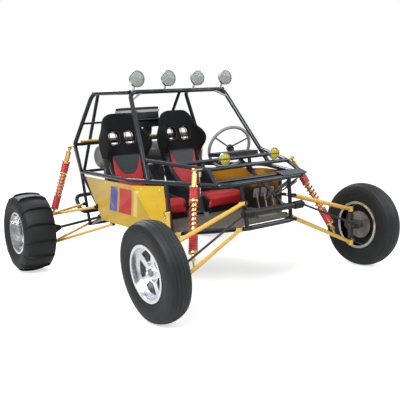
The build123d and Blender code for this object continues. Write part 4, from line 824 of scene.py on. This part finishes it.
for kind, look in lampLook.items():
    glass = makeLens(kind + "Lens", look)
    radius = look["radius"]
    outline = [(depth, share * radius) for depth, share in lensLook["outline"]]
    for index, (x, y, z) in enumerate(look["places"]):
        place = Matrix.Translation((x, y, z)) @ Matrix.Rotation(-pi / 2, 4, "Z")  # the lens looks forward
        addPiece("%sLens%d" % (kind, index + 1), lathe("lens", outline, 48, place, closed=False), "chassis",
                 glass)
        if kind == "fog":
            ends = [(x + share * radius, y - fogBarLook["ahead"] + fogBarLook["bend"] * abs(share), z)
                    for share in fogBarLook["shares"]]
            addPiece("fogBar%d" % (index + 1), tubeMesh("bar", ends, fogBarLook["radius"]), "chassis",
                     paints["box_black"])
print("lamps made")

# seats: a soft bucket shell, sewn pads for back and cushion, and trims round the harness holes
seatLook = {"x": 0.300, "backY": 0.418, "floor": 0.4732, "topY": 0.587, "topZ": 1.375, "thickness": 0.075,
            "voxel": 0.008, "rounds": 8}
holeLook = {"width": 0.100, "height": 0.118, "spacing": 0.160, "along": 0.751, "margin": 0.004,
            "corner": 0.022, "cut": (-0.05, 0.2), "trim": 0.004, "trimSteps": 16, "trimPower": 0.5,
            "trimRear": 0.004, "trimFront": 0.005}
seatBase = {"half": 0.196, "inner": 0.150, "outer": 0.201,
            "cushion": ((-0.180, 0.474), (-0.180, 0.598), (-0.164, 0.612), (0.400, 0.575), (0.410, 0.474)),
            "thigh": ((-0.186, 0.474), (-0.186, 0.600), (-0.165, 0.622), (0.080, 0.665), (0.200, 0.700),
                      (0.330, 0.800), (0.405, 0.860), (0.440, 0.700), (0.415, 0.474))}
seatSideways = Matrix(((0, 0, 1, 0), (1, 0, 0, 0), (0, 1, 0, 0), (0, 0, 0, 1)))
# pads: the back pad's outline, the cushion's section, and how both are softened and inflated
padLook = {"half": 0.160, "topHalf": 0.152, "low": 0.10, "waist": 0.30, "high": 0.545, "corner": 0.02,
           "depth": (0.050, 0.074), "cushionHalf": 0.186,
           "section": ((-0.190, 0.512), (-0.190, 0.618), (-0.172, 0.636), (0.290, 0.596), (0.290, 0.560),
                       (-0.150, 0.588), (-0.160, 0.512)),
           "voxel": 0.006, "rounds": 6, "pressure": 4.0, "frames": 18, "cap": 0.010}
leatherLook = {"red": (0.50, 0.008, 0.012, 1), "redDark": (0.33, 0.004, 0.007, 1),
               "grey": (0.018, 0.024, 0.027, 1), "greyDark": (0.009, 0.012, 0.014, 1),
               "half": 0.131, "curve": 0.165, "power": 3.0,
               "backBottom": 0.355, "cushionBottom": 0.10, "coat": 0.1, "roughness": 0.5, "grainScale": 500.0,
               "grainDetail": 3.0, "grainHeight": 0.15, "mottleScale": 12.0, "mottleGain": 0.35,
               "seam": 260.0, "bump": 0.8, "bumpDepth": 0.002}


def backFrame(side):
    up = Vector((0, seatLook["topY"] - seatLook["backY"], seatLook["topZ"] - seatLook["floor"]))
    length = up.length
    up.normalize()
    across = Vector((1, 0, 0))
    foot = (side * seatLook["x"], seatLook["backY"], seatLook["floor"])
    return placeAt(foot, across, up, across.cross(up)), length


def softened(name, mesh, voxel, rounds):
    # voxel remesh and smoothing, applied
    holder = addObject(name, mesh)
    remesh = holder.modifiers.new("remesh", "REMESH")
    remesh.mode = "VOXEL"
    remesh.voxel_size = voxel
    remesh.use_smooth_shade = True
    smooth = holder.modifiers.new("smooth", "SMOOTH")
    smooth.factor = 0.5
    smooth.iterations = rounds
    return applied(holder)


def prismMesh(name, outline, depths, place):
    # a closed slab: outline in the place's first two axes, depths along the third
    build = bmesh.new()
    loft(build, [[build.verts.new(place @ Vector((x, y, depth))) for x, y in outline] for depth in depths])
    return meshOf(name, build)


# the bucket by shares of its back's length: half width, and how far the side bolsters reach forward
bucketShares = ((0.0, 0.203, 0.110), (0.12, 0.203, 0.105), (0.25, 0.202, 0.085), (0.33, 0.202, 0.070),
                (0.40, 0.203, 0.052), (0.47, 0.205, 0.024), (0.53, 0.208, 0.022), (0.57, 0.213, 0.045),
                (0.61, 0.220, 0.115), (0.66, 0.226, 0.140), (0.71, 0.227, 0.130), (0.76, 0.222, 0.095),
                (0.81, 0.200, 0.050), (0.85, 0.181, 0.030), (0.90, 0.170, 0.022), (0.945, 0.157, 0.014),
                (0.98, 0.126, 0.006), (0.997, 0.085, 0.002))
bucketWall = {"bolster": 0.040, "inner": 0.052, "round": 0.016, "hollow": 0.012, "edge": 0.004, "lip": 0.006,
              "deep": 0.03}


def bucketSection(half, reach, thickness):
    # one closed section across the seat: rear face, rounded sides, bolsters and a hollowed front face
    wall, curve = bucketWall["bolster"], bucketWall["round"]
    tip = thickness + reach
    side = [(0.0, 0.0), (0.5 * half, 0.0), (half - 2 * curve, bucketWall["edge"]),
            (half - 0.4 * curve, 0.4 * curve), (half, 2 * curve), (half, 0.5 * tip),
            (half, tip - 1.6 * curve), (half - 0.35 * curve, tip - 0.4 * curve),
            (half - 0.5 * wall, tip), (half - wall + 0.3 * curve, tip - 0.5 * curve),
            (half - wall, tip - 1.6 * curve if reach > bucketWall["deep"] else tip - 0.2 * curve),
            (half - wall - bucketWall["lip"], thickness + 0.3 * reach),
            (half - bucketWall["inner"], thickness),
            (0.45 * half, thickness - 0.5 * bucketWall["hollow"]), (0.0, thickness - bucketWall["hollow"])]
    return side + [(-x, depth) for x, depth in reversed(side[1:-1])]


def holeCentres(length):
    aside = holeLook["spacing"] / 2
    return [(shift, holeLook["along"] * length) for shift in (-aside, aside)]


def bucketMesh(place, length, base):
    # the back is lofted through its sections and two holes are cut; cushion and thigh bolsters join it
    build = bmesh.new()
    rings = []
    for share, half, reach in bucketShares:
        section = bucketSection(half, reach, seatLook["thickness"])
        rings.append([build.verts.new(place @ Vector((x, share * length, depth))) for x, depth in section])
    loft(build, rings)
    holder = addObject("bucket", meshOf("bucket", build))
    subdivide = holder.modifiers.new("round", "SUBSURF")
    subdivide.levels = subdivide.render_levels = 1
    width, height = (holeLook[name] / 2 + holeLook["margin"] for name in ("width", "height"))
    corner = holeLook["corner"]
    outline = [(-width, corner - height), (corner - width, -height), (width - corner, -height),
               (width, corner - height), (width, height - corner), (width - corner, height),
               (corner - width, height), (-width, height - corner)]
    cutters = []
    for middle, level in holeCentres(length):
        shape = [(x + middle, y + level) for x, y in outline]
        cutter = addObject("cutter", prismMesh("cutter", shape, holeLook["cut"], place))
        cut = holder.modifiers.new("hole", "BOOLEAN")
        cut.operation = "DIFFERENCE"
        cut.object = cutter
        cutters.append(cutter)
    meshes = [applied(holder),
              prismMesh("base", seatBase["cushion"], (-seatBase["half"], seatBase["half"]), base)]
    for cutter in cutters:
        bpy.data.objects.remove(cutter)
    for edge in (-1, 1):
        spread = sorted((edge * seatBase["outer"], edge * seatBase["inner"]))
        meshes.append(prismMesh("thigh", seatBase["thigh"], spread, base))
    return softened("bucket", joined("bucket", meshes), seatLook["voxel"], seatLook["rounds"])


def puffed(mesh, options):
    # inflate a remeshed slab with cloth pressure, and cap how far a point moves
    start = [vertex.co.copy() for vertex in mesh.vertices]
    holder = addObject("pad", mesh)
    cloth = holder.modifiers.new("cloth", "CLOTH")
    cloth.settings.use_pressure = True
    cloth.settings.uniform_pressure_force = options["pressure"]
    cloth.settings.effector_weights.gravity = 0
    cloth.point_cache.frame_end = options["frames"]
    for number in range(1, options["frames"] + 1):
        scene.frame_set(number)
    result = applied(holder)
    scene.frame_set(1)
    for vertex, before in zip(result.vertices, start):
        move = vertex.co - before
        if move.length > options["cap"]:
            vertex.co = before + move * (options["cap"] / move.length)
    return result


def mapPad(mesh, place):
    # the pad's map is its own frame in metres, so seams and colours follow it
    back = place.inverted()
    layer = mesh.uv_layers.new(name="padMap")
    for loop in mesh.loops:
        local = back @ mesh.vertices[loop.vertex_index].co
        layer.data[loop.index].uv = (local.x, local.y)
    smoothed(mesh)


def makePadLeather(name, bottom):
    # red with a grey centre panel whose lower edge is a U, and a sewn seam between them
    look = leatherLook
    paint, tree, shader = startMaterial(name, coat=look["coat"], roughness=look["roughness"])
    axes = axesOf(tree, wire(tree, "ShaderNodeUVMap", uv_map="padMap").outputs[0])
    aside = calc(tree, "ABSOLUTE", axes["X"])
    share = calc(tree, "DIVIDE", aside, look["half"])
    curve = times(tree, calc(tree, "POWER", share, look["power"]), look["curve"])
    edgeLow = minus(tree, axes["Y"], plus(tree, curve, bottom))
    inside = calc(tree, "MINIMUM", edgeLow, minus(tree, look["half"], aside))
    coords = objectCoords(tree)
    grain = noise(tree, coords, look["grainScale"], look["grainDetail"])
    mottle = times(tree, noise(tree, coords, look["mottleScale"]), look["mottleGain"])
    red = mixColours(tree, mottle, look["red"], look["redDark"])
    grey = mixColours(tree, mottle, look["grey"], look["greyDark"])
    colour = mixColours(tree, calc(tree, "GREATER_THAN", inside, 0.0), red, grey)
    tree.links.new(colour, shader.inputs["Base Color"])
    seam = minus(tree, 1.0, times(tree, calc(tree, "ABSOLUTE", inside), look["seam"]), clamp=True)
    height = minus(tree, times(tree, grain, look["grainHeight"]), seam)
    addBump(tree, shader, height, look["bump"], look["bumpDepth"])
    return paint


backLeather = makePadLeather("backLeather", leatherLook["backBottom"])
cushionLeather = makePadLeather("cushionLeather", leatherLook["cushionBottom"])


def holeTrim(place, length):
    rings = []
    for middle, level in holeCentres(length):
        for depth in (holeLook["trimRear"], seatLook["thickness"] - holeLook["trimFront"]):
            points = []
            for step in range(holeLook["trimSteps"]):
                angle = 2 * pi * (step + 0.5) / holeLook["trimSteps"]
                x, y = (copysign(abs(part) ** holeLook["trimPower"], part) * holeLook[name] / 2
                        for part, name in ((cos(angle), "width"), (sin(angle), "height")))
                points.append(place @ Vector((x + middle, y + level, depth)))
            rings.append(tubeMesh("trim", points, holeLook["trim"], cyclic=True))
    return smoothed(joined("trims", rings))


def backOutline(look):
    half, top, corner, high = look["half"], look["topHalf"], look["corner"], look["high"]
    return [(-half, look["low"]), (half, look["low"]), (half, look["waist"]), (top, high - corner),
            (top - corner, high), (corner - top, high), (-top, high - corner), (-half, look["waist"])]


def addPad(name, mesh, mapPlace, leather):
    slab = puffed(softened("slab", mesh, padLook["voxel"], padLook["rounds"]), padLook)
    mapPad(slab, mapPlace)
    pad = addPiece(name, slab, "chassis", leather)


for side, word in ((1, "Left"), (-1, "Right")):
    place, length = backFrame(side)
    middle = Matrix.Translation((side * seatLook["x"], 0, 0))
    base = middle @ seatSideways
    shell = addPiece("seatShell" + word, bucketMesh(place, length, base), "chassis",
                     paints["seat_fabric"])
    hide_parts("seat_" + word.lower())
    back = prismMesh("slab", backOutline(padLook), padLook["depth"], place)
    addPad("backPad" + word, back, place, backLeather)
    spread = (-padLook["cushionHalf"], padLook["cushionHalf"])
    cushion = prismMesh("slab", padLook["section"], spread, base)
    addPad("cushionPad" + word, cushion, middle, cushionLeather)
    addPiece("harnessTrim" + word, holeTrim(place, length), "chassis", paints["box_black"])
print("seats made")

# gear lever: a rubber bellows over its base, below the silver knob
leverLook = {"foot": (0.0, -0.23011, 0.4729), "rings": 6, "base": 0.030, "low": 0.036, "top": 0.013,
             "height": 0.150, "rib": 0.004}


def bellowsOutline(look):
    points = [(look["base"], 0.0), (look["base"], look["low"])]
    for step in range(look["rings"]):
        share = (step + 0.5) / look["rings"]
        radius = look["low"] + (look["top"] - look["low"]) * share
        quarter = 0.25 / look["rings"]
        points.append((look["base"] + look["height"] * (share - quarter), radius + look["rib"]))
        points.append((look["base"] + look["height"] * (share + quarter), radius - look["rib"] / 2))
    return points + [(look["base"] + look["height"], 0.0)]


leverPlace = Matrix.Translation(leverLook["foot"]) @ Matrix.Rotation(-pi / 2, 4, "Y")
boot = lathe("boot", bellowsOutline(leverLook), 32, leverPlace, closed=False)
addPiece("leverBoot", boot, "chassis", paints["box_black"])
print("lever boot made")

# damper bodies seen between the coils: (top of the spring, its foot) on the left side, and the coils' shares
sleeves = {"front": ((0.5132, -0.9050, 0.8037), (0.6618, -1.0515, 0.3993)),
           "rear": ((0.7302, 0.7642, 0.9806), (0.8047, 0.9639, 0.5673))}
sleeveLook = {"radius": 0.0205, "start": 0.215, "end": 0.735}
for axle, (top, foot) in sleeves.items():
    for side, word in ((1, "Left"), (-1, "Right")):
        upper, lower = (Vector((side * x, y, z)) for x, y, z in (top, foot))
        run = lower - upper
        turn = run.to_track_quat("X", "Z").to_matrix().to_4x4()
        start, end = (share * run.length for share in (sleeveLook["start"], sleeveLook["end"]))
        outline = [(start, 0.0), (start, sleeveLook["radius"]), (end, sleeveLook["radius"]), (end, 0.0)]
        sleeve = lathe("sleeve", outline, 32, Matrix.Translation(upper) @ turn, closed=False)
        addPiece(axle + "DamperBody" + word, sleeve, "chassis", paints["damper_gold"])
print("damper bodies made")

# intake hose: ribbed, from the intake box down behind the tank to the engine's top
hoseLook = {"radius": 0.048, "rib": 0.86, "steps": 56, "x": 0.13, "footShift": 0.02, "ahead": 0.062,
            "behind": 0.075, "sunk": 0.004, "topPull": (0, 0.02, -0.15), "footPull": (0, 0.03, 0.16)}
hoseFinish = finish((0.10, 0.105, 0.11), (0.2, 0.2, 0.2), 0.35, 0.2, 0.5, bump=0.2)
hoseTop = Vector((hoseLook["x"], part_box("air_box")[1].y - hoseLook["ahead"],
                  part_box("air_box")[0].z + hoseLook["sunk"]))
hoseFoot = Vector((hoseLook["x"] - hoseLook["footShift"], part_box("fuel_tank")[1].y + hoseLook["behind"],
                   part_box("engine_block")[1].z - hoseLook["sunk"]))
hosePoints = interpolate_bezier(hoseTop, hoseTop + Vector(hoseLook["topPull"]),
                                hoseFoot + Vector(hoseLook["footPull"]), hoseFoot, hoseLook["steps"])
hoseRadii = [1.0 if step % 2 else hoseLook["rib"] for step in range(hoseLook["steps"])]
hose = tubeMesh("hose", hosePoints, hoseLook["radius"], radii=hoseRadii)
addPiece("intakeHose", hose, "chassis", weathered("hose_rubber", hoseFinish))
print("intake hose made")
